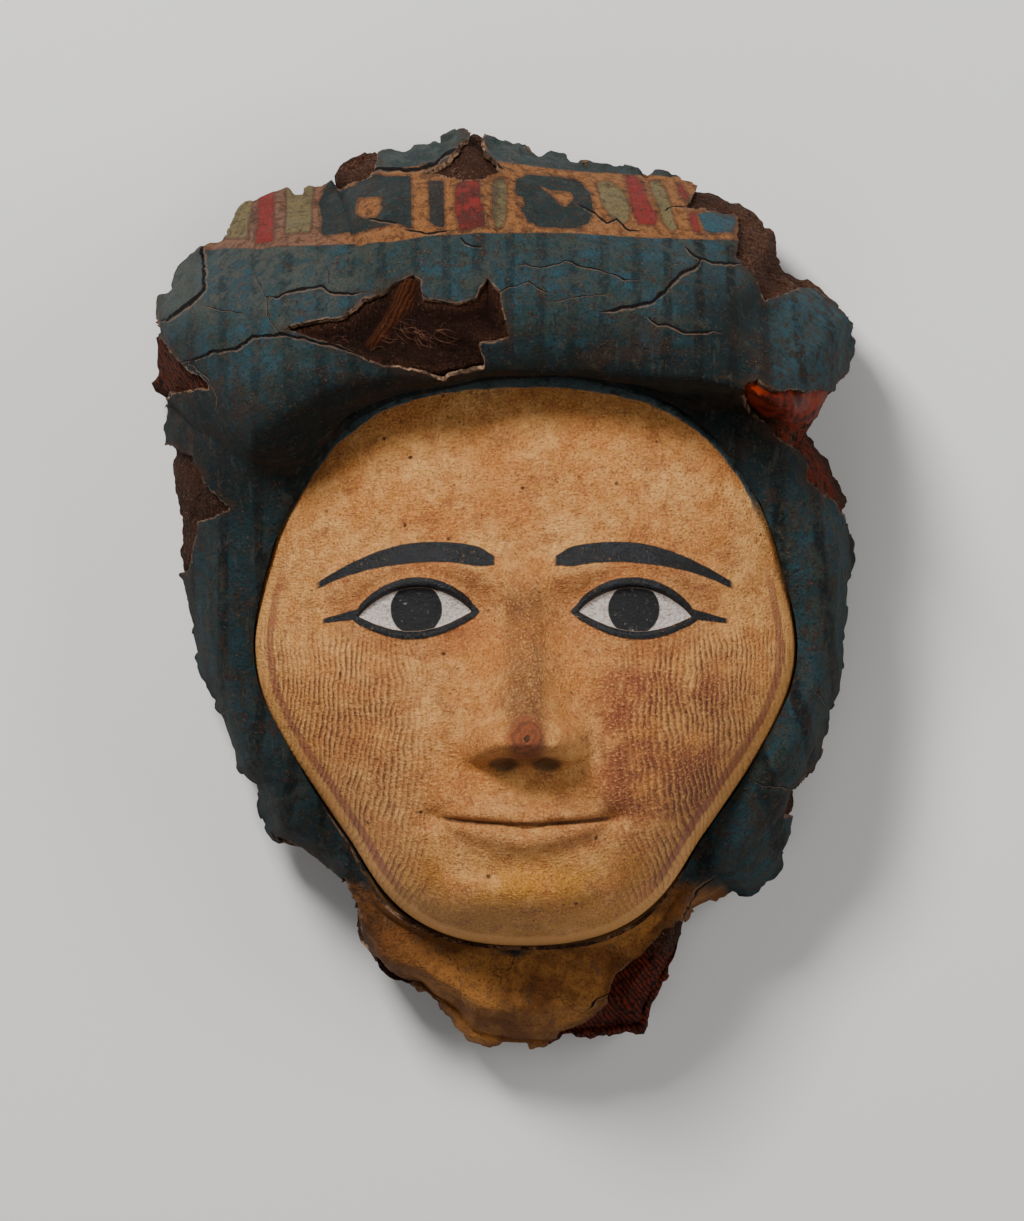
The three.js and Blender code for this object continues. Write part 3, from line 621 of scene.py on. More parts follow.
def stations(count):
    """Even steps along the broken outline, each joined to a point of the face's oval. The directions of
    the inner ends are the outline's own, smoothed over a few degrees."""
    corners = np.array(HEADDRESS_OUTLINE) * HALF
    corners = np.vstack([corners, corners[:1]])
    steps = np.concatenate([[0], np.cumsum(np.linalg.norm(np.diff(corners, axis=0), axis=1))])
    way = np.linspace(0, steps[-1], count, endpoint=False)
    outer = np.column_stack([np.interp(way, steps, corners[:, k]) for k in (0, 1)])
    ragged = 0.8 * rough(np.column_stack([outer, outer[:, :1] * 0]), 7, 11)
    outer *= 1 + ragged[:, None] / np.linalg.norm(outer, axis=1, keepdims=True)
    angle = np.unwrap(np.arctan2(outer[:, 1], outer[:, 0]))
    reach = count // 8
    weight = crest(np.arange(-reach, reach + 1), count * FAN_SMOOTHING)
    longer = np.concatenate([angle[-reach:] - 2 * np.pi, angle, angle[:reach] + 2 * np.pi])
    angle = np.convolve(longer, weight / weight.sum(), "valid")
    start = np.column_stack([np.cos(angle), np.sin(angle)]) * (oval_radius(angle) + WOOD_GAP)[:, None]
    out = outer - start
    length = np.linalg.norm(out, axis=1)
    skin = settings("plaster").thickness / MM + settings("plaster").gap / MM
    return angle, start, out / length[:, None], length - skin


def blend(angle, at_roll, at_side, at_throat):
    """A value that is one thing at the roll, another at the sides and a third at the throat."""
    degrees = np.degrees(angle) % 360
    roll = smooth(*ROLL_RIGHT, degrees) * smooth(*ROLL_LEFT, degrees)
    throat = smooth(*THROAT_LEFT, degrees) * smooth(*THROAT_RIGHT, degrees)
    return at_roll * roll + at_throat * throat + at_side * (1 - roll - throat)


def rim_level(angle):
    """The rear rim lies on the plane in six places and rises a little between them."""
    return RIM_RISE * smooth(0, 1.2, np.sin(6 * angle + 0.9) + 0.35 * np.sin(5 * angle + 2.1))


def outer_controls(angle, length):
    """Eleven points of the section at each station: way out and level, from the face to the rear rim."""
    edge = edge_level(angle)
    first = blend(angle, -ROLL_OVERHANG, BARE_EDGE, BARE_EDGE)
    points = [(0 * edge, edge + EDGE_LIP)]
    for roll, side, throat in zip(ROLL_SECTION, SIDE_SECTION, THROAT_SECTION):
        way = blend(angle, roll[0], side[0], throat[0])
        side_level = side[1] * (edge + SIDE_RISE)
        level = blend(angle, roll[1] * ROLL_LEVEL, side_level, throat[1] * (edge + THROAT_RISE))
        points.append((first + way * (length - first), level))
    turn = blend(angle, ROLL_TURN_LEVEL, SIDE_TURN_LEVEL, THROAT_TURN_LEVEL)
    points += [(length, turn), (length * (1 - RIM_TUCK), rim_level(angle))]
    return np.stack([np.stack(point, -1) for point in points], 1)


def set_back(angle, start, out, length, section, places, wall):
    """The section's levels under the roll's foot line come down to the side's own level at the same way
    out. The drop fades in across the line over a few millimetres, and ends before the rear rim. What
    overhangs the face there moves out beside it. For the inner side, the line is one wall further out and
    the levels one wall lower."""
    wall = np.broadcast_to(wall, angle.shape)[:, None]
    way, level = section[..., 0], section[..., 1] + wall
    share = (way - BARE_EDGE) / (length[:, None] - BARE_EDGE)
    low = np.interp(share, *np.transpose(SIDE_SECTION)) * (edge_level(angle)[:, None] + SIDE_RISE)
    front = seen_from_front(in_space(start, out, np.stack([way, level], -1)))
    soft = np.interp(front[..., 0], *np.transpose(FOOT_SOFT))
    under = smooth(-1, 1, (inside_distance(front, UNDER_ROLL) + 1.2 * wall) / soft)
    under = under * smooth(8.4, 7.4, places)
    dropped = section[..., 1] - under * np.maximum(level - low, 0)
    beside = BARE_EDGE * np.minimum(places, 1)
    return np.stack([way + under * np.maximum(beside - way, 0), dropped], -1)


def inner_controls(angle, length, outer):
    """The section's inner side, one linen thickness behind the outer side, from the rim to the lip."""
    wall = np.minimum(blend(angle, ROLL_LINEN, SIDE_LINEN, SIDE_LINEN), length * WIDEST_WALL)
    back = edge_level(angle) - WOOD_EDGE
    inner = [np.stack([0 * wall, back], -1), np.stack([wall, back], -1)]
    for k in INNER_POINTS:
        ahead = outer[:, k + 1] - outer[:, k - 1]
        ahead = ahead / np.linalg.norm(ahead, axis=1, keepdims=True)
        least = inner[-1][:, 0] + HOLLOW_STEP if k < outer.shape[1] / 2 else 0 * wall
        way = np.maximum(outer[:, k, 0] + ahead[:, 1] * wall, least)
        inner.append(np.stack([way, outer[:, k, 1] - ahead[:, 0] * wall], -1))
    inner.append(outer[:, -1] - np.stack([wall, 0 * wall], -1))
    return np.stack(inner[::-1], 1), wall


def along_curve(controls, places):
    """A smooth curve through each station's points: the cubic whose slope at a point is half the step
    from the point before to the point after."""
    last = controls.shape[1] - 1
    k = np.clip(np.floor(places).astype(int), 0, last - 1)
    t = (places - k)[:, None]
    a, b = controls[:, np.maximum(k - 1, 0)], controls[:, k]
    c, d = controls[:, k + 1], controls[:, np.minimum(k + 2, last)]
    bend = (2 * a - 5 * b + 4 * c - d) * t**2 + (3 * b - a - 3 * c + d) * t**3
    return b + 0.5 * ((c - a) * t + bend)


def along_line(controls, places):
    """Straight lines between each station's points."""
    k = np.clip(np.floor(places).astype(int), 0, controls.shape[1] - 2)
    t = (places - k)[:, None]
    return controls[:, k] * (1 - t) + controls[:, k + 1] * t


def in_space(start, out, section):
    """Points of the sections, set out from the face's edge along each station's direction."""
    flat = start[:, None] + out[:, None] * section[..., :1]
    return np.concatenate([flat, section[..., 1:]], -1)


def row_places(controls, end_at, rows):
    """Places along the section at about even steps, measured on the station that reaches furthest."""
    fine = np.linspace(0, end_at, 400)
    longest = controls[controls[:, -2, 0].argmax()][None]
    curve = along_curve(longest, fine)[0]
    steps = np.concatenate([[0], np.cumsum(np.linalg.norm(np.diff(curve, axis=0), axis=1))])
    return np.interp(np.linspace(0, steps[-1], rows), steps, fine)


def headdress_ground(count, rows, end_at):
    """The headdress's outer side as a grid of stations by rows, with slow lumps pushed out along its
    normals and notches in its edge. Returns the points, the normals, the stations' directions and the
    rows' places."""
    angle, start, out, length = stations(count)
    controls = outer_controls(angle, length)
    places = row_places(controls, end_at, rows)
    section = set_back(angle, start, out, length, along_curve(controls, places), places, 0)
    points = in_space(start, out, section)
    normals = grid_normals(points)
    on_rim = smooth(9.4, 10, places)[None, :, None]
    lumps = 1.5 * rough(points, 27, 21, 2) + 0.55 * noise(points, 9, 25)
    flat = points * [1, 1, 0.25]
    notches = 1.9 * smooth(0.05, 0.4, noise(flat, 4.6, 17)) + 0.7 * rough(flat, 2.4, 19, 2) - 0.5
    lumps = (lumps - notches * smooth(8.0, 8.9, places))[..., None] * (1 - on_rim)
    points = points + normals * lumps
    return points, normals, angle, places


def loss_depth(front):
    """How far inside a plaster loss each place is, in millimetres, negative where plaster lies."""
    losses = [np.array(loss) * HALF for loss in PLASTER_LOSSES.values()]
    return np.max([inside_distance(front, loss) for loss in losses], axis=0)


def linen_surface(count, rows):
    """The linen shell: the outer grid, sunk where the plaster is lost on the front of the roll, with layers
    and threads in low relief, then the inner side back to the wood, closed into a ring."""
    points, normals, angle, places = headdress_ground(count, rows, RIM_END)
    front = seen_from_front(points)
    pocket = inside_distance(front, np.array(PLASTER_LOSSES["front_of_roll"]) * HALF)
    depth = POCKET_DEPTH * smooth(0, 5, pocket)
    depth -= RIDGE_HEIGHT * smooth(-1.2, 2.6, inside_distance(front, FIBRE_RIDGE))
    layers = rough(points * [1, 1, 0.4], 9, 31)
    flakes = 0.5 * smooth(0.05, 0.2, layers) + 0.35 * smooth(-0.4, -0.25, layers)
    bare = smooth(-1, 1.5, loss_depth(front))
    inland = smooth(0, 1, places)[None] * smooth(10, 9.3, places)[None]
    rise = (flakes + 0.35 * rough(points, 2.6, 41, 2)) * bare - depth
    points = points + normals * (rise * inland)[..., None]
    _, start, out, length = stations(count)
    inner, wall = inner_controls(angle, length, outer_controls(angle, length))
    steps = np.linspace(0, inner.shape[1] - 1, INNER_ROWS)
    opposite = np.interp(steps, [0, 1, 7], [10, 8, 0])
    section = set_back(angle, start, out, length, along_line(inner, steps), opposite, wall)
    inner = in_space(start, out, section)
    return np.concatenate([points, inner], 1), np.concatenate([front, seen_from_front(inner)], 1)


def sample(field, i, j):
    """Values of a grid at places between its points, blended from the four around each place."""
    low_i = np.clip(np.floor(i).astype(int), 0, field.shape[0] - 2)
    low_j = np.clip(np.floor(j).astype(int), 0, field.shape[1] - 2)
    s, t = i - low_i, j - low_j
    if field.ndim == 3:
        s, t = s[..., None], t[..., None]
    near = field[low_i, low_j] * (1 - t) + field[low_i, low_j + 1] * t
    return near * (1 - s) + (field[low_i + 1, low_j] * (1 - t) + field[low_i + 1, low_j + 1] * t) * s


def cut_to_mask(mask):
    """Where the points of a grid go so that the grid ends on the mask's zero line, and the quads that are
    kept. A point less than two thirds of a cell from the line slides onto it, down the mask's slope."""
    i, j = np.meshgrid(np.arange(mask.shape[0]), np.arange(mask.shape[1]), indexing="ij")
    slope_i, slope_j = np.gradient(mask)
    steep = slope_i**2 + slope_j**2 + 1e-9
    near = np.abs(mask) < SNAP_REACH * np.sqrt(steep)
    move_i = np.where(near, np.clip(-mask * slope_i / steep, -SNAP_MOVE, SNAP_MOVE), 0)
    move_j = np.where(near, np.clip(-mask * slope_j / steep, -SNAP_MOVE, SNAP_MOVE), 0)
    kept = (mask > 0) | near
    whole = kept[:-1, :-1] & kept[1:, :-1] & kept[1:, 1:] & kept[:-1, 1:]
    mean = mask[:-1, :-1] + mask[1:, :-1] + mask[1:, 1:] + mask[:-1, 1:]
    whole &= mean > 0
    index = np.arange(mask.size).reshape(mask.shape)
    corners = [index[:-1, :-1], index[:-1, 1:], index[1:, 1:], index[1:, :-1]]
    quads = np.stack(corners, -1)[whole]
    i = np.clip(i + move_i, 0, mask.shape[0] - 1)
    j = np.clip(j + move_j, 0, mask.shape[1] - 1)
    return i, j, quads


def plate_surface(points, normals, mask, lift, thickness, fields):
    """Solid plates of plaster: the grid inside the mask at two heights, joined by a wall along each edge
    that only one quad uses. Returns points, the fields at them, quads and the number of the first wall."""
    i, j, quads = cut_to_mask(mask)
    base, up = sample(points, i, j), sample(normals, i, j)
    raised = sample(lift, i, j)[..., None]
    top = (base + up * (raised + thickness)).reshape(-1, 3)
    under = (base + up * raised).reshape(-1, 3)
    size = len(top)
    edges = np.concatenate([quads[:, [k, (k + 1) % 4]] for k in range(4)])
    lone = ~np.isin(edges[:, 0] * size + edges[:, 1], edges[:, 1] * size + edges[:, 0])
    rim = edges[lone]
    walls = np.column_stack([rim[:, 1], rim[:, 0], rim[:, 0] + size, rim[:, 1] + size])
    faces = np.concatenate([quads, quads[:, ::-1] + size, walls])
    used, faces = np.unique(faces, return_inverse=True)
    carried = {}
    for name, field in fields.items():
        values = sample(field, i, j).reshape(size, -1)
        carried[name] = np.tile(values, (2, 1))[used]
    return np.concatenate([top, under])[used], carried, faces.reshape(-1, 4), 2 * len(quads)


def plaster_mask(points, front, places):
    """Two fields in millimetres, positive where plaster lies: to its broken edges, which are the losses and
    the ragged lower edge with noise on them, and to any of its edges, which adds the line by the face."""
    ragged = 0.6 * rough(points, 6, 61) + 0.3 * rough(points, 1.9, 71, 2)
    below = 14 * (RAGGED_EDGE - places)[None] + 4 * rough(points, 17, 81) + 2.4 * rough(points, 4.5, 83)
    broken = np.minimum(ragged - loss_depth(front), below)
    beside = 8 * (places - PLASTER_START)[None] + 0.25 * rough(points, 8, 91)
    return broken, np.minimum(broken, beside)


def band_blocks(front):
    """Distance inside the nearest painted block of the band and that block's colour. The bare marks inside
    blocks count as outside."""
    look = settings("plaster")
    depth = np.full(front.shape[:-1], -float(FIELD_REACH))
    colour = np.zeros((*front.shape[:-1], 3))
    band = front[..., 1] > BAND[0][1] - FIELD_REACH
    places = front[band]
    found = np.stack([inside_distance(places, outline) for _, outline in BLOCKS], -1)
    colour[band] = np.array([getattr(look, name)[:] for name, _ in BLOCKS])[found.argmax(-1)]
    bare = np.stack([inside_distance(places, outline) for outline in BARE_MARKS], -1).max(-1)
    depth[band] = np.minimum(found.max(-1), -bare)
    return np.clip(depth, -FIELD_REACH, FIELD_REACH), colour


# Pieces as Blender objects


def settings(name):
    """One of the mask's groups of settings."""
    return getattr(bpy.context.scene.mummy_mask, name)


def make_piece(name, points, groups, materials, node=None, attributes=None, wall_from=None):
    """A mesh object at the origin from points in millimetres over the plane and groups of faces, each of
    one size. It rides on the mask, takes its finish from a slot and may stand for a node of the frame.
    Faces from the number wall_from on have the second material."""
    mesh = bpy.data.meshes.new(name)
    place = np.asarray(points) * MM + MIDDLE
    mesh.vertices.add(len(place))
    mesh.vertices.foreach_set("co", place.ravel())
    sizes = np.concatenate([np.full(len(group), group.shape[1]) for group in groups])
    mesh.loops.add(int(sizes.sum()))
    mesh.loops.foreach_set("vertex_index", np.concatenate([group.ravel() for group in groups]))
    mesh.polygons.add(len(sizes))
    mesh.polygons.foreach_set("loop_start", np.concatenate([[0], np.cumsum(sizes)[:-1]]))
    mesh.polygons.foreach_set("use_smooth", np.ones(len(sizes), bool))
    for material in materials:
        mesh.materials.append(material)
    if wall_from is not None:
        mesh.polygons.foreach_set("material_index", (np.arange(len(sizes)) >= wall_from).astype(np.int32))
    mesh.update(calc_edges=True)
    for label, values in (attributes or {}).items():
        kind, key = ("FLOAT", "value") if values.size == len(place) else ("FLOAT_VECTOR", "vector")
        mesh.attributes.new(label, kind, "POINT").data.foreach_set(key, values.astype(np.float32).ravel())
    mesh.validate()
    mesh.set_sharp_from_angle(angle=math.radians(50))
    piece = bpy.data.objects.new(name, mesh)
    bpy.context.scene.collection.objects.link(piece)
    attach(piece, "root")
    if node:
        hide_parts(node)
    return piece


# Finishes


class Value:
    """A number worked out by shader nodes. An expression on it adds its Math nodes."""

    def __init__(self, finish, socket):
        self.finish = finish
        self.socket = socket

    def maths(self, operation, *others):
        """One Math node on this value and others."""
        return self.finish.node("ShaderNodeMath", {"operation": operation}, self, *others)

    def __add__(self, other):
        return self.maths("ADD", other)

    def __sub__(self, other):
        return self.maths("SUBTRACT", other)

    def __rsub__(self, other):
        return (self * -1) + other

    def __mul__(self, other):
        return self.maths("MULTIPLY", other)

    def __truediv__(self, other):
        return self.maths("DIVIDE", other)

    def __pow__(self, other):
        return self.maths("POWER", other)

    def __abs__(self):
        return self.maths("ABSOLUTE")

    __radd__ = __add__
    __rmul__ = __mul__

    def least(self, other):
        """The smaller of this and another."""
        return self.maths("MINIMUM", other)

    def most(self, other):
        """The larger of this and another."""
        return self.maths("MAXIMUM", other)

    def sine(self):
        """Sine of the value."""
        return self.maths("SINE")


class Finish:
    """A material, its node tree, the place on the object in millimetres from the point under the middle of
    the face, and the colour so far. The methods add nodes, and most give back a value."""

    def __init__(self, name, shine=0.35):
        self.material = bpy.data.materials.new(name)
        self.material.use_nodes = True
        self.tree = self.material.node_tree
        self.shader = self.tree.nodes["Principled BSDF"]
        self.shader.inputs["Specular IOR Level"].default_value = shine
        coordinates = self.node("ShaderNodeTexCoord", out=3)
        moved = self.vector_maths("SUBTRACT", coordinates, tuple(MIDDLE))
        self.place = self.vector_maths("SCALE", moved, scale=1 / MM)
        self.colour = (0, 0, 0)

    def node(self, kind, setup=None, *values, out=0, **named):
        """Adds a node of a kind: its settings first, then values or links by order and by name."""
        made = self.tree.nodes.new(kind)
        for key, value in (setup or {}).items():
            setattr(made, key, value)
        for key, value in [*enumerate(values), *((key.title(), value) for key, value in named.items())]:
            self.plug(made.inputs[key], value)
        return Value(self, made.outputs[out])

    def plug(self, socket, value):
        """Links a value into a socket, or sets the socket to a number or colour."""
        if isinstance(value, Value):
            self.tree.links.new(value.socket, socket)
        elif socket.type == "RGBA":
            socket.default_value = (*value, 1)
        else:
            socket.default_value = value

    def vector_maths(self, operation, *values, **named):
        """One Vector Math node."""
        return self.node("ShaderNodeVectorMath", {"operation": operation}, *values, **named)

    def attribute(self, name, out=2):
        """A number or, with out 1, a vector that the mesh carries."""
        return self.node("ShaderNodeAttribute", {"attribute_name": name}, out=out)

    def split(self, vector):
        """The three numbers of a vector."""
        made = self.tree.nodes.new("ShaderNodeSeparateXYZ")
        self.plug(made.inputs[0], vector)
        return [Value(self, socket) for socket in made.outputs]

    def mottle(self, size, detail=3, roughness=0.55, stretch=None, at=None):
        """Noise about 0.5 with patches of that size in millimetres."""
        vector = at or self.place
        if stretch:
            vector = self.vector_maths("MULTIPLY", vector, stretch)
        names = {"vector": vector, "scale": 1 / size, "detail": detail, "roughness": roughness}
        return self.node("ShaderNodeTexNoise", {"normalize": True}, **names)

    def patches(self, start, end, *noise, **named):
        """Noise as patches: 0 where it is at start, 1 where it is at end."""
        return self.ramp(self.mottle(*noise, **named), start, end)

    def bent(self, size, amount):
        """The place, moved by noise with patches of that size, by up to half the amount."""
        names = {"vector": self.place, "scale": 1 / size, "detail": 2.0}
        moved = self.node("ShaderNodeTexNoise", {"normalize": True}, out=1, **names)
        centred = self.vector_maths("SUBTRACT", moved, (0.5, 0.5, 0.5))
        return self.vector_maths("ADD", self.place, self.vector_maths("SCALE", centred, scale=amount))

    def cells(self, size, feature="F1", at=None):
        """Distance to the nearest of scattered points, or to the nearest cell wall."""
        names = {"vector": at or self.place, "scale": 1 / size, "randomness": 1.0}
        return self.node("ShaderNodeTexVoronoi", {"feature": feature}, **names)

    def ramp(self, value, start, end):
        """Rises smoothly from 0 where the value is start to 1 where it is end."""
        if start > end:
            return 1 - self.ramp(value, end, start)
        setup = {"interpolation_type": "SMOOTHSTEP"}
        return self.node("ShaderNodeMapRange", setup, value, start, end, 0.0, 1.0)

    def mix(self, share, first, second):
        """A colour between two."""
        made = self.tree.nodes.new("ShaderNodeMix")
        made.data_type = "RGBA"
        for key, value in ((0, share), (6, first), (7, second)):
            self.plug(made.inputs[key], value)
        return Value(self, made.outputs[2])

    def layered(self, colour, *layers):
        """A colour with others laid over it in turn, each by a share from 0 to 1."""
        for share, layer in layers:
            colour = self.mix(share, colour, layer)
        return colour

    def coat(self, share, colour):
        """Lays a colour over the finish's colour, by a share from 0 to 1."""
        self.colour = self.mix(share, self.colour, colour)

    def finish(self, roughness, height):
        """Puts the colour, the roughness and a bump of a height in millimetres on the shader."""
        normal = self.node("ShaderNodeBump", height=height, distance=MM, strength=1.0)
        for key, value in (("Base Color", self.colour), ("Roughness", roughness), ("Normal", normal)):
            self.plug(self.shader.inputs[key], value)
        return self.material


def carved_wood_finish():
    """Worn yellow ochre over wood whose raised growth rings ripple down the cheeks, with painted brows
    and eyes, a reddish line inside the edge, a bare brown nose ridge and a knot at its tip."""
    look = settings("face")
    f = Finish("carved_wood")
    x, y, z = f.split(f.place)
    ax = abs(x)

    # Growth rings: cylinders round an upright line inside the wood, bent by noise, cut by the surface
    bent = f.mottle(17, 2) * 4.6 + f.mottle(4, 2) * 0.7
    ring = ((x - 2) ** 2 + ((z - 44) * 0.62) ** 2) ** 0.5 + bent + y * 0.035
    turn = ring * (2 * math.pi * MM / look.ring_pitch)
    ripple = (turn.sine() + (turn * 2 + 0.8).sine() * 0.35) * 0.5 + 0.5
    cheek = f.ramp(ax, 22, 44) * f.ramp(y, 16, 2)
    uneven = f.patches(0.34, 0.6, 11, 4)
    broken = f.patches(0.3, 0.55, 2.2, 3)
    strength = (cheek * 0.88 + 0.12) * (uneven * 0.6 + 0.4) * (broken * 0.5 + 0.5)

    # Paint: warm ochre in clouds, yellower on the chin, red-brown on the cheeks
    broad = f.patches(0.36, 0.64, 21, 5, 0.62)
    middling = f.patches(0.38, 0.62, 5, 5, 0.66)
    f.colour = f.mix(broad, look.ochre, look.pale_ochre)
    f.coat(middling * 0.5, look.orange)
    yellower = f.patches(0.52, 0.6, 3.2, 6, 0.75)
    f.coat(yellower * 0.35, look.chin)
    yellow = f.ramp(y, -50, -66) * f.ramp(ax, 52, 34) * f.patches(0.3, 0.6, 12, 4)
    f.coat(yellow * 0.8, look.chin)
    warm = f.ramp(ax, 72, 50) * f.ramp(ax, 14, 30) * f.ramp(y, 8, -8) * f.ramp(y, -66, -40)
    side = f.ramp(x, -30, 20) * 0.76 + 0.36
    cloud = f.patches(0.36, 0.6, 13, 5, 0.65)
    f.coat(warm * side * cloud, look.red_brown)
    worn = f.patches(0.52, 0.62, 7, 8, 0.74)
    f.coat(worn * 0.5, look.red_brown)
    f.coat((1 - ripple) * strength * 0.8, look.bare_wood)
    f.coat(f.ramp(ripple, 0.62, 0.95) * strength * 0.42, look.pale_ochre)
    # Painted shade: the eye sockets are darkened with red-brown
    socket = f.ramp(((ax - EYE) / 27) ** 2 + ((y - EYE_LINE - 3) / 17) ** 2, 1.15, 0.7)
    f.coat(socket * 0.38, look.red_brown)
    ridge = f.ramp(ax, 8.5, 3) * f.ramp(y, 34, 16) * f.ramp(y, -34, -28)
    f.coat(ridge * (broad * 0.3 + 0.45), look.bare_wood)
    lips = f.ramp(abs(y - MOUTH_LINE + 0.6), 9.5, 5.5) * f.ramp(ax, MOUTH_HALF + 1, MOUTH_HALF - 8)
    f.coat(lips * 0.32, look.red_brown)

    # Grain, pores, pits and scuffs
    fine = f.mottle(0.75, 3, 0.72)
    flecks = f.patches(0.54, 0.62, 1.7, 5, 0.76)
    f.coat(flecks * 0.32, look.red_brown)
    f.coat(f.ramp(fine, 0.53, 0.65) * 0.6, look.pale_ochre)
    f.coat(f.ramp(fine, 0.46, 0.34) * 0.6, look.bare_wood)
    pore = f.ramp(f.cells(1.5), 0.22, 0.08) * f.patches(0.4, 0.58, 6, 3)
    f.coat(pore * 0.62, look.bare_wood)
    pit = f.ramp(f.cells(6.5), 0.12, 0.05) * f.patches(0.48, 0.6, 9, 2)
    f.coat(pit * 0.9, PIT)

    # A reddish line inside the edge, and the blue-grey headband along the hairline
    rim_line = f.attribute("rim") + (f.mottle(8, 3) - 0.5) * 1.2
    under_brow = f.ramp(y, 34, 16)
    seam = f.ramp(abs(rim_line - 5.2), 1.5, 0.8) * under_brow * f.ramp(y, -74, -60)
    f.coat(seam * 0.62, look.seam)
    outside = f.ramp(rim_line, 4.2, 3.2) * under_brow
    f.coat(outside * 0.5, look.pale_ochre)
    strip_edge = f.ramp(ax, 50, 20) * 1.4 + 2.6 + (f.mottle(15, 5, 0.6) - 0.5) * 3
    strip = f.ramp(strip_edge - rim_line, -0.25, 0.45) * f.ramp(y, 40, 52)
    f.coat(strip, f.layered(
        look.headband,
        (f.patches(0.46, 0.64, 3, 5, 0.7), look.headband_dark),
        (f.ramp(fine, 0.56, 0.7) * 0.5, look.red_brown),
    ))

    # Nose tip: bare wood with rings round a knot
    knot = ((x * 1.2 - 0.6) ** 2 + (y - (NOSE_LINE + 6.5)) ** 2) ** 0.5 + (f.mottle(5, 4) - 0.5) * 6
    bare_tip = f.ramp(knot, 8.6, 4.4)
    rings = (knot * 2.6 + f.mottle(3, 3) * 4).sine() * 0.5 + 0.5
    f.coat(bare_tip * 0.85, f.layered(
        look.knot,
        (rings * 0.7, look.bare_wood),
        (f.ramp(abs(knot - 4.6), 0.9, 0.3) * 0.6, look.bare_wood),
        (f.ramp(knot, 0.9, 0.4), KNOT_HEART),
    ))
    # Painted shade in the nostrils
    nostril_shade = f.ramp(((ax - 6.4) / 4.6) ** 2 + ((y - NOSE_LINE + 1.4) / 2.2) ** 2, 1.4, 0.4)
    f.coat(nostril_shade * 0.75, NOSTRIL_SHADE)
    # Painted shade along the cut between the lips
    bend = (MOUTH_LINE + x * x * MOUTH_BOW) - y
    mouth_crease_shade = f.ramp(abs(bend), 0.9, 0.3) * f.ramp(ax, MOUTH_HALF + 0.5, MOUTH_HALF - 4)
    f.coat(mouth_crease_shade * 0.7, MOUTH_CREASE_SHADE)

    # Brows: one tapering stroke on each side
    wobble = (f.mottle(3.2, 3) - 0.5) * 0.9
    arch = (BROW_LINE + 4.4) - (ax - 27) ** 2 * 0.0082
    half = (f.ramp(ax, 7, 15) * 2.0 + 1.1) * (1 - f.ramp(ax, 32, 66) * 0.66)
    brow = f.ramp(half - abs(y - arch) + wobble * 0.5, -0.2, 0.25) * f.ramp(ax, 8.5, 9.5)
    brow = brow * f.ramp(ax, 63, 61)

    # Eyes: an almond with a dark rim, drawn out to a short line, and a dark iris
    q = (ax - EYE) / LID_HALF
    share = (1 - q * q).most(0.0)
    upper, lower = lid_lines(q, share)
    taper = f.ramp(abs(q), 1.18, 0.96)
    over = f.ramp(upper + taper * 2.9 - y + wobble * 0.5, -0.2, 0.2)
    beneath = f.ramp(y - lower + taper * 2.2 + wobble * 0.4, -0.2, 0.2)
    lined = over * beneath * f.ramp(abs(q), 1.17, 1.1)
    tail = (EYE_LINE + 0.2) - (q - 1) * 3.4
    tail_half = 1.6 - (q - 1) * 1.4
    drawn = f.ramp(tail_half - abs(y - tail) + wobble * 0.3, -0.2, 0.2) * f.ramp(q, 0.9, 1.0)
    drawn = drawn * f.ramp(q, 1.66, 1.58)
    open_eye = (upper - y).least(y - lower) + wobble * 0.4
    white = f.ramp(open_eye, 0.1, 0.45) * f.ramp(abs(q), 0.99, 0.96)
    iris = ((ax - EYE + 0.4) ** 2 + (y - EYE_LINE - 1.6) ** 2) ** 0.5 + wobble * 0.5
    iris = f.ramp(iris, 7.9, 7.5)
    speck = f.patches(0.5, 0.62, 0.8, 3, 0.75)
    dirt = f.patches(0.5, 0.68, 2.2, 5, 0.7)
    f.coat(white, f.layered(look.eye_white, (speck * 0.6, look.eye_dirt), (dirt * 0.5, look.eye_dirt)))
    dark = lined.most(drawn) * (1 - white)
    dark = dark.most(brow).most(white * iris)
    chipped = f.patches(0.7, 0.6, 1.5, 5, 0.72)
    bluer = f.patches(0.42, 0.66, 5, 3) * (1 - white)
    f.coat(dark * (chipped * 0.3 + 0.7), f.mix(bluer, look.ink, look.ink_blue))

    height = ripple * strength * (look.ring_depth / MM) + (fine - 0.5) * 0.8 - pit * 0.5 - pore * 0.12
    strokes = f.mottle(1.6, 4, 0.7, (0.5, 1.6, 1.0)) - 0.5
    height = height + (f.mottle(3, 4, 0.65) - 0.5) * 0.8 + strokes * 0.7
    height = height - f.ramp(knot, 0.9, 0.3) * 0.8
    height = height * (1 - dark * 0.5) + dark * 0.14 + strip * 0.3
    roughness = 0.66 - dark * 0.26 + white * 0.2 + (fine - 0.5) * 0.2 - bare_tip * 0.1
    return f.finish(roughness, height)


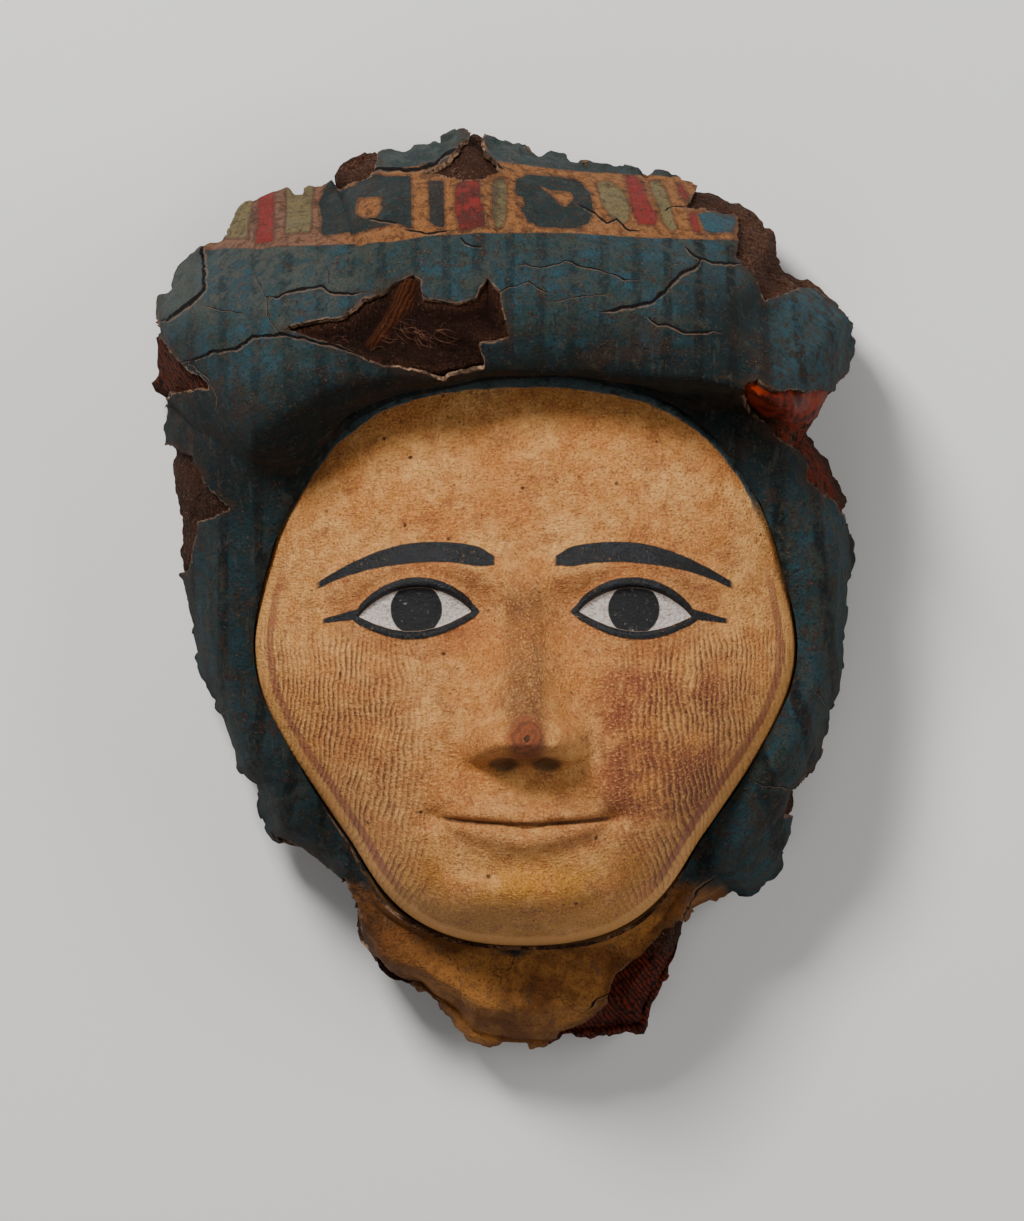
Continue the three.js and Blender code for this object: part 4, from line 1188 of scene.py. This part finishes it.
def linen_finish():
    """Coarse brown linen stiff with mud: crossing threads, clods, pale grains, orange broken layers at the
    left, a lighter ridge of fibre in the pocket and the smooth remnant under the roll's right end."""
    look = settings("linen")
    f = Finish("stiffened_linen", 0.12)
    z = f.split(f.place)[2]
    front = f.attribute("front", 1)
    across, up, _ = f.split(front)
    pitch = look.thread_pitch / MM
    bend = (f.mottle(6, 3) - 0.5) * 3.2
    warp_thread = ((across + bend) * (2 * math.pi / pitch)).sine()
    weft_thread = ((up + bend * 0.8 - z * 0.6) * (2 * math.pi / pitch)).sine()
    weave = warp_thread.most(weft_thread) * 0.5 + 0.5
    clods = f.mottle(3.0, 6, 0.72)
    grit = f.mottle(1.1, 5, 0.8)
    broad = f.patches(0.38, 0.62, 14, 4)
    f.colour = f.mix(broad, look.dark, look.brown)
    f.coat(f.ramp(clods, 0.52, 0.7) * 0.55, look.tan)
    f.coat(weave * 0.5 * f.ramp(clods, 0.6, 0.46), look.tan)
    # Painted shadow in the hollows between the clods
    f.coat(f.ramp(clods, 0.48, 0.38) * 0.8, CLOD_SHADOW)
    dust = f.ramp(grit, 0.54, 0.66)
    f.coat(dust * 0.5, look.dust)
    crown = f.ramp(up, 146, 149) * f.ramp(across, -30, -34)
    pale = f.ramp(across, 56, 72) * f.ramp(up, 96, 106)
    rows = ((up * 0.95 + across * 0.3 + bend * 0.7) * 5.2).sine() * 0.5 + 0.5
    f.coat(pale * rows * f.ramp(clods, 0.66, 0.5) * 0.6, look.tan)
    f.coat(pale.most(crown) * f.ramp(grit, 0.5, 0.62) * 0.5, look.dust)
    spark = f.patches(0.61, 0.68, 0.8, 3, 0.6) * f.patches(0.48, 0.62, 6, 3)
    f.coat(spark * 0.75, look.grain)

    # Broken layers at the left end of the roll, seen edge on
    layers = across * 0.3 + up * 0.8 + z * 0.55 + bend * 1.6
    layers = ((layers * 3.7).sine() + (layers * 1.9 + clods * 6).sine() * 0.8) * 0.34 + 0.4
    left = f.ramp(across, -88, -96) * f.ramp(up, 124, 114) * f.ramp(up, 60, 70)
    f.coat(left * f.ramp(clods, 0.7, 0.54) * 0.95, f.mix(layers, LAYER_GAP, look.orange))
    right = f.ramp(across, 74, 80) * f.ramp(up, 34, 40) * f.ramp(up, 80, 74) * f.ramp(clods, 0.44, 0.56)
    f.coat(right * f.ramp(z, 26, 46) * 0.6, look.red)

    # The throat's lower right: red-brown fibres on the slant
    slant = ((across * 0.8 + up * 0.62 + bend) * 4.6).sine() * 0.5 + 0.5
    throat = f.ramp(up, -84, -92) * f.ramp(across, 0, 8)
    f.coat(throat * 0.8, f.mix(slant * f.ramp(clods, 0.35, 0.6), look.dark, look.red))
    flake = f.patches(0.64, 0.68, 5, 2, at=front) * throat
    f.coat(flake, look.orange)

    # The pocket: darkened with painted shade, with the ridge of packed fibre
    ridge = f.ramp(f.attribute("ridge") + (clods - 0.5) * 3, -1.0, 1.0)
    pocket = f.ramp(f.attribute("pocket"), -1, 3)
    f.coat(pocket * 0.7, POCKET_SHADE)
    strand = ((across * 0.85 - up * 0.52 + bend * 0.5) * 6).sine() * 0.5 + 0.5
    f.coat(ridge * 0.85, f.mix(strand, look.brown, look.ridge))

    # The smooth remnant, and the painted lip beside the face
    deep = f.ramp(z + (clods - 0.5) * 26, 34, 56)
    smear = f.ramp(f.attribute("underside"), -0.2, 0.4) * deep
    f.coat(smear, f.mix(f.patches(0.42, 0.58, 5, 5, 0.65), look.smear, look.smear_dark))
    lip = f.ramp(f.attribute("lip"), 0.9, 0.6)
    f.coat(lip * 0.9, f.mix(f.ramp(up, -62, -68), LIP_HAIR, LIP_FLESH))

    height = weave * 0.45 * (1 - pocket) + (clods - 0.5) * 4 + (grit - 0.5) * 2.2
    height = height + left * layers * 1.1 + throat * slant * 0.45 + ridge * strand * 0.5 + flake * 0.4
    height = (height + pale * rows * 0.5) * (1 - smear * 0.93)
    return f.finish(0.93 - smear * 0.3, height)


def painted_plaster_finish():
    """Matt paint on uneven plaster: blue-green hair with dark stripes, the coloured band and its borders,
    the crown's weathered blue, flesh-coloured throat, cracks, and chips down to the pale ground."""
    look = settings("plaster")
    f = Finish("painted_plaster", 0.18)
    front = f.attribute("front", 1)
    across, up, _ = f.split(front)
    broad = f.mottle(17, 5, 0.62)
    patch = f.mottle(6.5, 6, 0.7)
    small = f.mottle(3, 6, 0.72, at=f.bent(5, 4))
    grit = f.mottle(0.8, 4, 0.75)
    wobble = (f.mottle(4, 4, 0.6, at=front) - 0.5) * 2.4

    # Hair: blue-green with bluer and browner patches, and stripes that run over the roll
    f.colour = f.mix(f.ramp(broad, 0.4, 0.6), look.teal, look.blue)
    f.coat(f.ramp(patch, 0.5, 0.38) * 0.55, look.bright_blue)
    f.coat(f.ramp(patch, 0.5, 0.6) * 0.72, look.grey_green)
    pitch = look.stripe_pitch / MM
    lean = f.ramp(across, 45, 85) * (up - 108) * 0.1
    phase = (across + lean + wobble * 0.5 - 4.8) * (2 * math.pi / pitch)
    stripe = f.ramp(phase.maths("COSINE") + (small - 0.5) * 1.5, 0.3, 0.85)
    bold = f.ramp(across, 36, 50).most(f.ramp(up, 66, 50)) * 0.4 + 0.5
    f.coat(stripe * bold * (f.ramp(patch, 0.64, 0.44) * 0.8 + 0.2), look.stripe)
    f.coat(f.ramp(small, 0.53, 0.62) * 0.7, look.umber)
    rubbed = f.patches(0.53, 0.57, 5, 8, 0.78, at=f.bent(9, 8))
    f.coat(rubbed * 0.42, look.grey_green)

    # The band over the roll: its ground, and the blocks with darker outlines
    ground = f.layered(
        look.tan_left,
        (f.ramp(across, -70, -42), look.tan),
        (f.ramp(small, 0.46, 0.62) * 0.72, look.umber),
        (f.ramp(small, 0.44, 0.36) * 0.3, look.ground),
    )
    depth = f.attribute("block") + wobble * 0.22 + (small - 0.5) * 1.1
    dulled = f.ramp(abs(across + 17), 15, 6) * f.ramp(patch, 0.62, 0.46)
    block = f.layered(
        f.attribute("block_colour", 1),
        (f.ramp(small, 0.5, 0.62) * 0.6, look.umber),
        (f.ramp(patch, 0.5, 0.36) * 0.25, look.grey_blue),
        (dulled * 0.6, look.outline),
    )
    outline = f.ramp(abs(depth + 0.15), 0.75, 0.2)
    in_band = f.ramp(f.attribute("band") + wobble * 0.25 + (small - 0.5) * 1.2, -0.25, 0.25)
    f.coat(in_band, f.layered(ground, (f.ramp(depth, -0.1, 0.25), block), (outline * 0.42, look.outline)))

    # Crown: greyer and more weathered, and darker to the right with painted shade
    crown = f.ramp(up, 144, 149) * (1 - in_band)
    f.coat(crown * 0.7, f.mix(f.ramp(patch, 0.4, 0.6), look.grey_blue, look.teal))
    f.coat(crown * f.ramp(across, -10, 20) * 0.3, look.shade)
    flap = f.ramp(across, -94, -98) * f.ramp(up, 101, 107) * f.ramp(patch, 0.62, 0.45)
    f.coat(flap * 0.6, look.grey_blue)
    dusty = f.ramp(across, -30, -75) * f.ramp(up, 96, 108) * (1 - in_band)
    f.coat(dusty * f.ramp(patch, 0.42, 0.58) * 0.72, look.grey_blue)
    # Painted shade: the hair under the roll's foot line and over the lappets, and the roll's lower right,
    # are darkened with the shade colour
    foot = f.attribute("foot") + (patch - 0.5) * 14
    under = f.ramp(foot, -26, -2) * (1 - f.ramp(foot, 9, 26) * (f.ramp(across, 40, 70) * 0.42 + 0.35))
    painted_shade_low_right = f.ramp(across, 36, 58) * f.ramp(up, 124, 104) * f.ramp(up, 34, 62)
    under = under.most(painted_shade_low_right * 0.95) * (1 - f.ramp(across, 70, 80) * f.ramp(foot, 1, -4) * 0.85)
    f.coat(under * 0.82, look.shade)
    end = f.ramp(across, 70, 78) * f.ramp(foot, 1, -4) * f.ramp(small, 0.54, 0.44)
    f.coat(end * (1 - in_band) * 0.5, look.bright_blue)
    streak = f.patches(0.5, 0.6, 9, 5, 0.68, (0.35, 1.0, 1.0))
    f.coat(streak * f.ramp(foot, -24, -8) * f.ramp(foot, 12, 4) * 0.5, look.umber)
    worn = f.patches(0.54, 0.6, 4.5, 6, 0.74, (1.0, 0.6, 1.0)) * f.ramp(up, 78, 52)
    f.coat(worn * 0.5, look.umber)

    # Throat: flesh-coloured, browner at the left edge
    edge_line = abs(across + 3) * 0.5 - up + wobble
    throat = f.ramp(up + wobble, -64, -69) * f.ramp(edge_line, 86, 90) * f.ramp(abs(across + 3), 66, 62)
    f.coat(throat, f.layered(
        look.flesh,
        (f.ramp(broad, 0.38, 0.6), look.flesh_dark),
        (f.ramp(patch, 0.5, 0.66) * 0.35, look.umber),
        (f.ramp(small, 0.5, 0.62) * 0.5, look.flesh_dark),
        (f.ramp(across, -16, -42) * 0.75, look.flesh_dark),
        (f.ramp(across, -34, -54) * f.ramp(patch, 0.42, 0.54) * 0.7, look.shade),
    ))

    # Dirt, specks, chips to the ground, and edges
    dirt = f.patches(0.54, 0.7, 1.7, 5, 0.75)
    f.coat(dirt * 0.5, look.umber)
    f.coat(f.ramp(grit, 0.57, 0.68) * f.ramp(small, 0.46, 0.6) * 0.75, look.speck)
    f.coat(f.ramp(grit, 0.47, 0.36) * 0.62, look.stripe)
    scuff = f.patches(0.56, 0.62, 2.6, 5, 0.7, (1.0, 0.35, 1.0))
    f.coat(scuff * 0.35, look.grey_green)
    chip = f.patches(0.68, 0.72, 2.4, 6, 0.75)
    f.coat(chip * 0.75, look.ground)
    inland = f.attribute("inland")
    edge = f.ramp(inland + (small - 0.5) * 2.6, 0.5, -0.1) * f.ramp(broad, 0.4, 0.54)
    f.coat(edge * 0.75, look.ground)
    stained = f.ramp(inland + (patch - 0.5) * 8, 2.6, 0.2) * f.ramp(broad, 0.6, 0.46)
    f.coat(stained * 0.55, look.umber)

    # Cracks: the drawn ones with a paler lower lip, and hair cracks
    side = f.attribute("crack_side") + (f.mottle(1.5, 4, 0.7) - 0.5) * 1.5
    at_crack = f.ramp(f.attribute("crack_near"), 1.6, 0.9)
    crack = f.ramp(abs(side), 1.2, 0.75) * at_crack
    lower_lip = f.ramp(abs(side + 1.9), 1.0, 0.4) * at_crack * f.ramp(small, 0.36, 0.5)
    net = f.ramp(f.cells(17, "DISTANCE_TO_EDGE", f.bent(7, 9)), 0.011, 0.004)
    net = net * f.patches(0.52, 0.6, 11, 3)
    f.coat(lower_lip * 0.45, look.ground)
    f.coat(crack.most(net * 0.6), CRACK_DARK)

    height = (f.mottle(2.6, 6, 0.74) - 0.5) * 3.0 + (f.mottle(8, 3) - 0.5) * 2.6
    height = height + (grit - 0.5) * 1.7 - chip * 0.35
    height = height - crack * 1.3 - net * 0.4 - edge * 0.3 + (1 - in_band) * 0.12
    return f.finish(0.84 + (grit - 0.5) * 0.2, height)


def broken_plaster_finish():
    """The crumbly ground that shows where the plaster broke, pale in places and stained in others."""
    look = settings("plaster")
    f = Finish("broken_plaster", 0.15)
    crumb = f.mottle(1.2, 5, 0.72)
    f.colour = f.mix(f.ramp(crumb, 0.38, 0.6), look.umber, look.ground)
    f.coat(f.patches(0.56, 0.44, 9, 3) * 0.8, STAIN)
    return f.finish(0.9, (crumb - 0.5) * 0.8)


def fibre_finish():
    """Dry straw-coloured fibres."""
    look = settings("linen")
    f = Finish("loose_fibre")
    f.colour = f.mix(f.patches(0.35, 0.65, 3, 3), look.brown, look.tan)
    return f.finish(0.8, (f.mottle(0.6, 2) - 0.5) * 0.1)


def fibre_surface(points_grid, front_grid, normals_grid):
    """Thin tapering tubes. Each follows a line with a slight bend over the linen: start plus way times
    direction plus the square of the way times the bend, with a five-sided ring at each step."""
    rng = np.random.default_rng(7)
    flat_front = front_grid.reshape(-1, 2)
    flat_points, flat_normals = points_grid.reshape(-1, 3), normals_grid.reshape(-1, 3)
    points, quads, caps = [], [], []
    turn = np.arange(5) / 5 * 2 * np.pi
    way = np.linspace(0, 1, 9)
    for (x, y), heading, number in TUFTS:
        nearest = ((flat_front - [x, y]) ** 2).sum(1).argmin()
        root, up = flat_points[nearest], flat_normals[nearest]
        for _ in range(number):
            angle = math.radians(heading + rng.normal(0, 13))
            reach = rng.uniform(3, 8)
            ahead = np.array([math.cos(angle), math.sin(angle), 0.0])
            ahead -= up * (ahead @ up)
            sideways = np.cross(up, ahead)
            begin = root + rng.normal(0, 1.2, 3) * [1, 1, 0.2] + up * 0.6
            bow = sideways * rng.normal(0, 1.6) + up * rng.uniform(0.2, 1.4)
            middle = begin + np.outer(way * reach, ahead) + np.outer(4 * way * (1 - way), bow)
            radius = rng.uniform(0.07, 0.13) * (1 - 0.7 * way)
            ring = np.outer(np.cos(turn), sideways) + np.outer(np.sin(turn), up)
            tube = middle[:, None] + ring[None] * radius[:, None, None]
            first = sum(len(p) for p in points)
            index = first + np.arange(tube.shape[0] * 5).reshape(-1, 5)
            across = np.roll(index, -1, axis=1)
            around = np.stack([index[1:], across[1:], across[:-1], index[:-1]], -1)
            quads.append(around.reshape(-1, 4))
            caps.append(np.array([index[0], index[-1][::-1]]))
            points.append(tube.reshape(-1, 3))
    return np.concatenate(points), np.concatenate(quads), np.concatenate(caps)


# Settings


def colour_setting(name, description, *screen):
    """A colour that the user can change. Its default is given as screen values from 0 to 255, which become
    linear light: (share + 0.055) / 1.055, to the power 2.4."""
    linear = tuple(((value / 255 + 0.055) / 1.055) ** 2.4 for value in screen)
    return FloatVectorProperty(
        name=name, description=description, subtype="COLOR", size=3, min=0, max=1, default=linear
    )


def number_setting(name, description, default, unit="LENGTH"):
    """A length in metres, or a number of another unit, that the user can change."""
    return FloatProperty(name=name, description=description, unit=unit, min=0, default=default, precision=5)


class FaceSettings(bpy.types.PropertyGroup):
    """Sizes and colours of the carved face."""

    cells: IntProperty(name="Cells", description="Grid cells across the front", default=278, min=20)
    ring_pitch: number_setting("Ring pitch", "Step between growth rings", 0.0013)
    ring_depth: number_setting("Ring depth", "How far the rings stand out", 0.00045)
    ochre: colour_setting("Ochre", "Main paint of the face", 200, 128, 62)
    pale_ochre: colour_setting("Pale ochre", "Lighter patches", 228, 167, 96)
    orange: colour_setting("Orange", "Warmer clouds", 176, 98, 38)
    chin: colour_setting("Chin", "Yellower paint of the chin", 168, 112, 20)
    red_brown: colour_setting("Red brown", "Worn paint", 134, 70, 40)
    seam: colour_setting("Line inside the edge", "Reddish line round the cheeks", 134, 74, 58)
    bare_wood: colour_setting("Bare wood", "Wood under the paint", 92, 50, 28)
    knot: colour_setting("Knot", "Bare wood at the nose tip", 138, 66, 36)
    eye_white: colour_setting("Eye white", "Whites of the eyes", 206, 196, 186)
    eye_dirt: colour_setting("Eye dirt", "Specks on the whites", 140, 104, 86)
    ink: colour_setting("Ink", "Brows, lids and irises", 6, 6, 7)
    ink_blue: colour_setting("Blue ink", "Bluer strokes in the brows", 15, 18, 23)
    headband: colour_setting("Headband", "Strip along the hairline", 74, 92, 94)
    headband_dark: colour_setting("Dark headband", "Worn parts of the strip", 44, 54, 52)


class LinenSettings(bpy.types.PropertyGroup):
    """Sizes and colours of the linen."""

    stations: IntProperty(name="Stations", description="Grid steps round the face", default=580, min=40)
    rows: IntProperty(name="Rows", description="Grid steps over the section", default=110, min=12)
    thread_pitch: number_setting("Thread pitch", "Step between threads", 0.0011)
    dark: colour_setting("Dark linen", "Mud-soaked linen", 28, 14, 9)
    brown: colour_setting("Linen", "Main colour of the linen", 60, 32, 21)
    tan: colour_setting("Tan linen", "Lighter threads", 104, 66, 44)
    grain: colour_setting("Grain", "Pale grains in the mud", 186, 146, 116)
    dust: colour_setting("Dust", "Pale dust and grains", 152, 104, 80)
    ridge: colour_setting("Ridge", "Packed fibre in the pocket", 108, 56, 26)
    orange: colour_setting("Orange", "Resin-stained layers", 116, 50, 20)
    smear: colour_setting("Remnant", "Smooth orange-brown remnant", 118, 34, 5)
    smear_dark: colour_setting("Dark remnant", "Darker parts of the remnant", 62, 15, 3)
    red: colour_setting("Red", "Red-brown fibres", 156, 48, 18)


class PlasterSettings(bpy.types.PropertyGroup):
    """Sizes and colours of the painted plaster."""

    stations: IntProperty(name="Stations", description="Grid steps round the face", default=900, min=40)
    rows: IntProperty(name="Rows", description="Grid steps over the section", default=150, min=12)
    thickness: number_setting("Thickness", "Thickness of the plaster", 0.0016)
    gap: number_setting("Gap", "Space between linen and plaster", 0.0004)
    stripe_pitch: number_setting("Stripe pitch", "Step between the hair's stripes", 0.00947)
    teal: colour_setting("Teal", "Main colour of the hair", 47, 67, 66)
    blue: colour_setting("Blue", "Bluer patches", 45, 75, 84)
    bright_blue: colour_setting("Bright blue", "Least worn blue", 50, 95, 108)
    grey_green: colour_setting("Grey green", "Greyer patches", 76, 80, 72)
    grey_blue: colour_setting("Grey blue", "Weathered crown", 88, 92, 86)
    umber: colour_setting("Umber", "Brown staining", 72, 46, 30)
    stripe: colour_setting("Stripe", "Dark stripes", 16, 19, 19)
    shade: colour_setting("Shade", "Darker hair under the roll", 18, 27, 26)
    tan: colour_setting("Tan", "Ground of the band", 174, 114, 64)
    tan_left: colour_setting("Rosy tan", "Ground of the band at the left", 148, 104, 80)
    outline: colour_setting("Outline", "Darker edges of the blocks", 62, 42, 36)
    olive: colour_setting("Olive", "Green blocks", 138, 122, 82)
    red: colour_setting("Red", "Red blocks", 154, 52, 46)
    slate: colour_setting("Slate", "Dark blue-green blocks", 40, 54, 54)
    flesh: colour_setting("Flesh", "Paint of the throat", 198, 132, 66)
    flesh_dark: colour_setting("Dark flesh", "Browner throat", 138, 84, 40)
    speck: colour_setting("Speck", "Orange-brown specks", 140, 104, 78)
    ground: colour_setting("Ground", "Pale plaster where broken", 160, 126, 100)


class StageSettings(bpy.types.PropertyGroup):
    """Floor, lights and camera."""

    camera_distance: number_setting("Camera distance", "From the camera to the scaled level", 2.2)
    key_power: number_setting("Key power", "Power of the main light", 30, "POWER")
    fill_power: number_setting("Fill power", "Power of the fill light", 7, "POWER")
    floor: colour_setting("Floor", "Colour of the floor", 226, 224, 221)


class MaskSettings(bpy.types.PropertyGroup):
    """All settings of the mask."""

    face: PointerProperty(type=FaceSettings)
    linen: PointerProperty(type=LinenSettings)
    plaster: PointerProperty(type=PlasterSettings)
    stage: PointerProperty(type=StageSettings)


# Operators


class MASK_OT_face(bpy.types.Operator):
    """Carves and paints the wooden face"""

    bl_idname = "mask.face"
    bl_label = "Wooden face"

    def execute(self, context):
        points, quads, fan = face_surface(settings("face").cells)
        reach = np.hypot(points[:, 0], points[:, 1])
        rim = oval_radius(np.arctan2(points[:, 1], points[:, 0])) - reach
        finish = [carved_wood_finish()]
        make_piece("carved_face", points, [quads, fan], finish, "wooden_face", {"rim": rim})
        return {"FINISHED"}


class MASK_OT_linen(bpy.types.Operator):
    """Makes the linen shell of the headdress and its loose fibres"""

    bl_idname = "mask.linen"
    bl_label = "Linen"

    def execute(self, context):
        look = settings("linen")
        grid, front = linen_surface(look.stations, look.rows)
        count, size = grid.shape[:2]
        index = np.arange(count * size).reshape(count, size)
        onward = np.roll(index, -1, axis=0)
        outward = np.roll(index, -1, axis=1)
        both = np.roll(onward, -1, axis=1)
        quads = np.stack([index, outward, both, onward], -1).reshape(-1, 4)
        flat = front.reshape(-1, 2)
        row = np.arange(size)
        fields = {
            "front": np.column_stack([flat, np.zeros(len(flat))]),
            "pocket": inside_distance(flat, np.array(PLASTER_LOSSES["front_of_roll"]) * HALF),
            "ridge": inside_distance(flat, FIBRE_RIDGE),
            "underside": inside_distance(flat, ROLL_UNDERSIDE),
            "lip": np.tile(np.where(row < look.rows, row * RIM_END / look.rows, 0), count),
        }
        points, finish = grid.reshape(-1, 3), [linen_finish()]
        make_piece("linen_shell", points, [quads], finish, "linen_backing", fields)
        outer = grid[:, : look.rows]
        points, quads, caps = fibre_surface(outer, front[:, : look.rows], grid_normals(outer))
        make_piece("loose_fibres", points, [quads, caps], [fibre_finish()])
        return {"FINISHED"}


class MASK_OT_plaster(bpy.types.Operator):
    """Lays the painted plaster over the linen"""

    bl_idname = "mask.plaster"
    bl_label = "Plaster"

    def execute(self, context):
        look = settings("plaster")
        points, normals, angle, places = headdress_ground(look.stations, look.rows, PLASTER_END)
        front = seen_from_front(points)
        broken, mask = plaster_mask(points, front, places)
        bent = np.stack([noise(points, 2.4, 111), noise(points, 2.4, 113)], -1)
        near, side, raised = crack_fields(front + 0.45 * bent)
        curl = CURL_HEIGHT * smooth(3.5, 0, broken) * smooth(-0.2, 0.7, rough(points, 15, 101, 2))
        lift = look.gap / MM + curl + raised
        block, block_colour = band_blocks(front)
        fields = {
            "front": np.concatenate([front, 0 * front[..., :1]], -1),
            "inland": np.clip(broken, -2, 5),
            "crack_near": near,
            "crack_side": np.clip(side, -CRACK_FAR, CRACK_FAR),
            "band": np.clip(inside_distance(front, BAND), -FIELD_REACH, FIELD_REACH),
            "foot": np.clip(inside_distance(front, UNDER_ROLL), -40, 60),
            "block": block,
            "block_colour": block_colour,
        }
        materials = [painted_plaster_finish(), broken_plaster_finish()]
        degrees = np.degrees(angle) % 360
        for name, (begin, end) in PLATES.items():
            first = int(np.abs((degrees - begin + 180) % 360 - 180).argmin())
            last = int(np.abs((degrees - end + 180) % 360 - 180).argmin())
            span = np.arange(first, last + 1 + look.stations * (last < first)) % look.stations
            parts = [field[span] for field in (points, normals, mask, lift)]
            local = {key: field[span] for key, field in fields.items()}
            placed, carried, faces, wall = plate_surface(*parts, look.thickness / MM, local)
            slot, node = "painted_plaster", "painted_plaster"
            make_piece(name, placed, [faces], materials, node, carried, wall)
        return {"FINISHED"}


def facing(direction):
    """Euler angles that turn a light, which shines down its own -Z, along a direction."""
    x, y, z = direction / np.linalg.norm(direction)
    return (math.acos(-z), 0, math.atan2(y, x) - math.pi / 2)


class MASK_OT_stage(bpy.types.Operator):
    """Sets the floor, the lights and the camera"""

    bl_idname = "mask.stage"
    bl_label = "Stage"

    def execute(self, context):
        look = settings("stage")
        mesh = bpy.data.meshes.new("floor")
        corners = [(x * FLOOR_HALF, y * FLOOR_HALF, 0) for x, y in ((-1, -1), (1, -1), (1, 1), (-1, 1))]
        mesh.from_pydata(corners, [], [(0, 1, 2, 3)])
        f = Finish("floor")
        f.plug(f.shader.inputs["Base Color"], look.floor)
        f.plug(f.shader.inputs["Roughness"], 0.9)
        mesh.materials.append(f.material)
        floor = bpy.data.objects.new("floor", mesh)
        context.scene.collection.objects.link(floor)
        lights = {
            "key": ((-0.52, 0.86, 1.15), look.key_power, 0.4),
            "fill": ((1.0, 0.1, 0.8), look.fill_power, 0.8),
            "front": ((-0.3, -0.9, 1.2), look.fill_power * 0.5, 0.8),
        }
        for name, (place, power, size) in lights.items():
            light = bpy.data.lights.new(name, "AREA")
            light.energy = power
            light.size = size
            made = bpy.data.objects.new(name, light)
            made.location = place
            made.rotation_euler = facing(np.subtract(AIM, place))
            context.scene.collection.objects.link(made)
        world = bpy.data.worlds.new("studio")
        world.use_nodes = True
        background = world.node_tree.nodes["Background"]
        background.inputs["Color"].default_value = (1, 1, 1, 1)
        background.inputs["Strength"].default_value = SKY
        context.scene.world = world
        camera = bpy.data.cameras.new("camera")
        camera.sensor_width = SENSOR
        camera.lens = SENSOR * look.camera_distance / (VIEW_HEIGHT * MM)
        made = bpy.data.objects.new("camera", camera)
        eye = VIEW_MIDDLE * MM + MIDDLE[:2]
        made.location = (*eye, VIEW_LEVEL * MM + look.camera_distance)
        context.scene.collection.objects.link(made)
        context.scene.camera = made
        return {"FINISHED"}


class MASK_PT_panel(bpy.types.Panel):
    """Panel in the 3D view's sidebar"""

    bl_label = "Mummy mask"
    bl_space_type = "VIEW_3D"
    bl_region_type = "UI"
    bl_category = "Mummy mask"

    def draw(self, context):
        for name in ("face", "linen", "plaster", "stage"):
            box = self.layout.box()
            box.operator(f"mask.{name}")
            values = getattr(context.scene.mummy_mask, name)
            for key in values.__annotations__:
                box.prop(values, key)


CLASSES = (
    FaceSettings, LinenSettings, PlasterSettings, StageSettings, MaskSettings,
    MASK_OT_face, MASK_OT_linen, MASK_OT_plaster, MASK_OT_stage, MASK_PT_panel,
)


def register():
    """Registers the classes and the settings."""
    for cls in CLASSES:
        bpy.utils.register_class(cls)
    bpy.types.Scene.mummy_mask = PointerProperty(type=MaskSettings)


def unregister():
    """Removes them again."""
    del bpy.types.Scene.mummy_mask
    for cls in reversed(CLASSES):
        bpy.utils.unregister_class(cls)


def main():
    register()
    bpy.ops.mask.face()
    bpy.ops.mask.linen()
    bpy.ops.mask.plaster()
    bpy.ops.mask.stage()


if __name__ == "__main__":
    main()
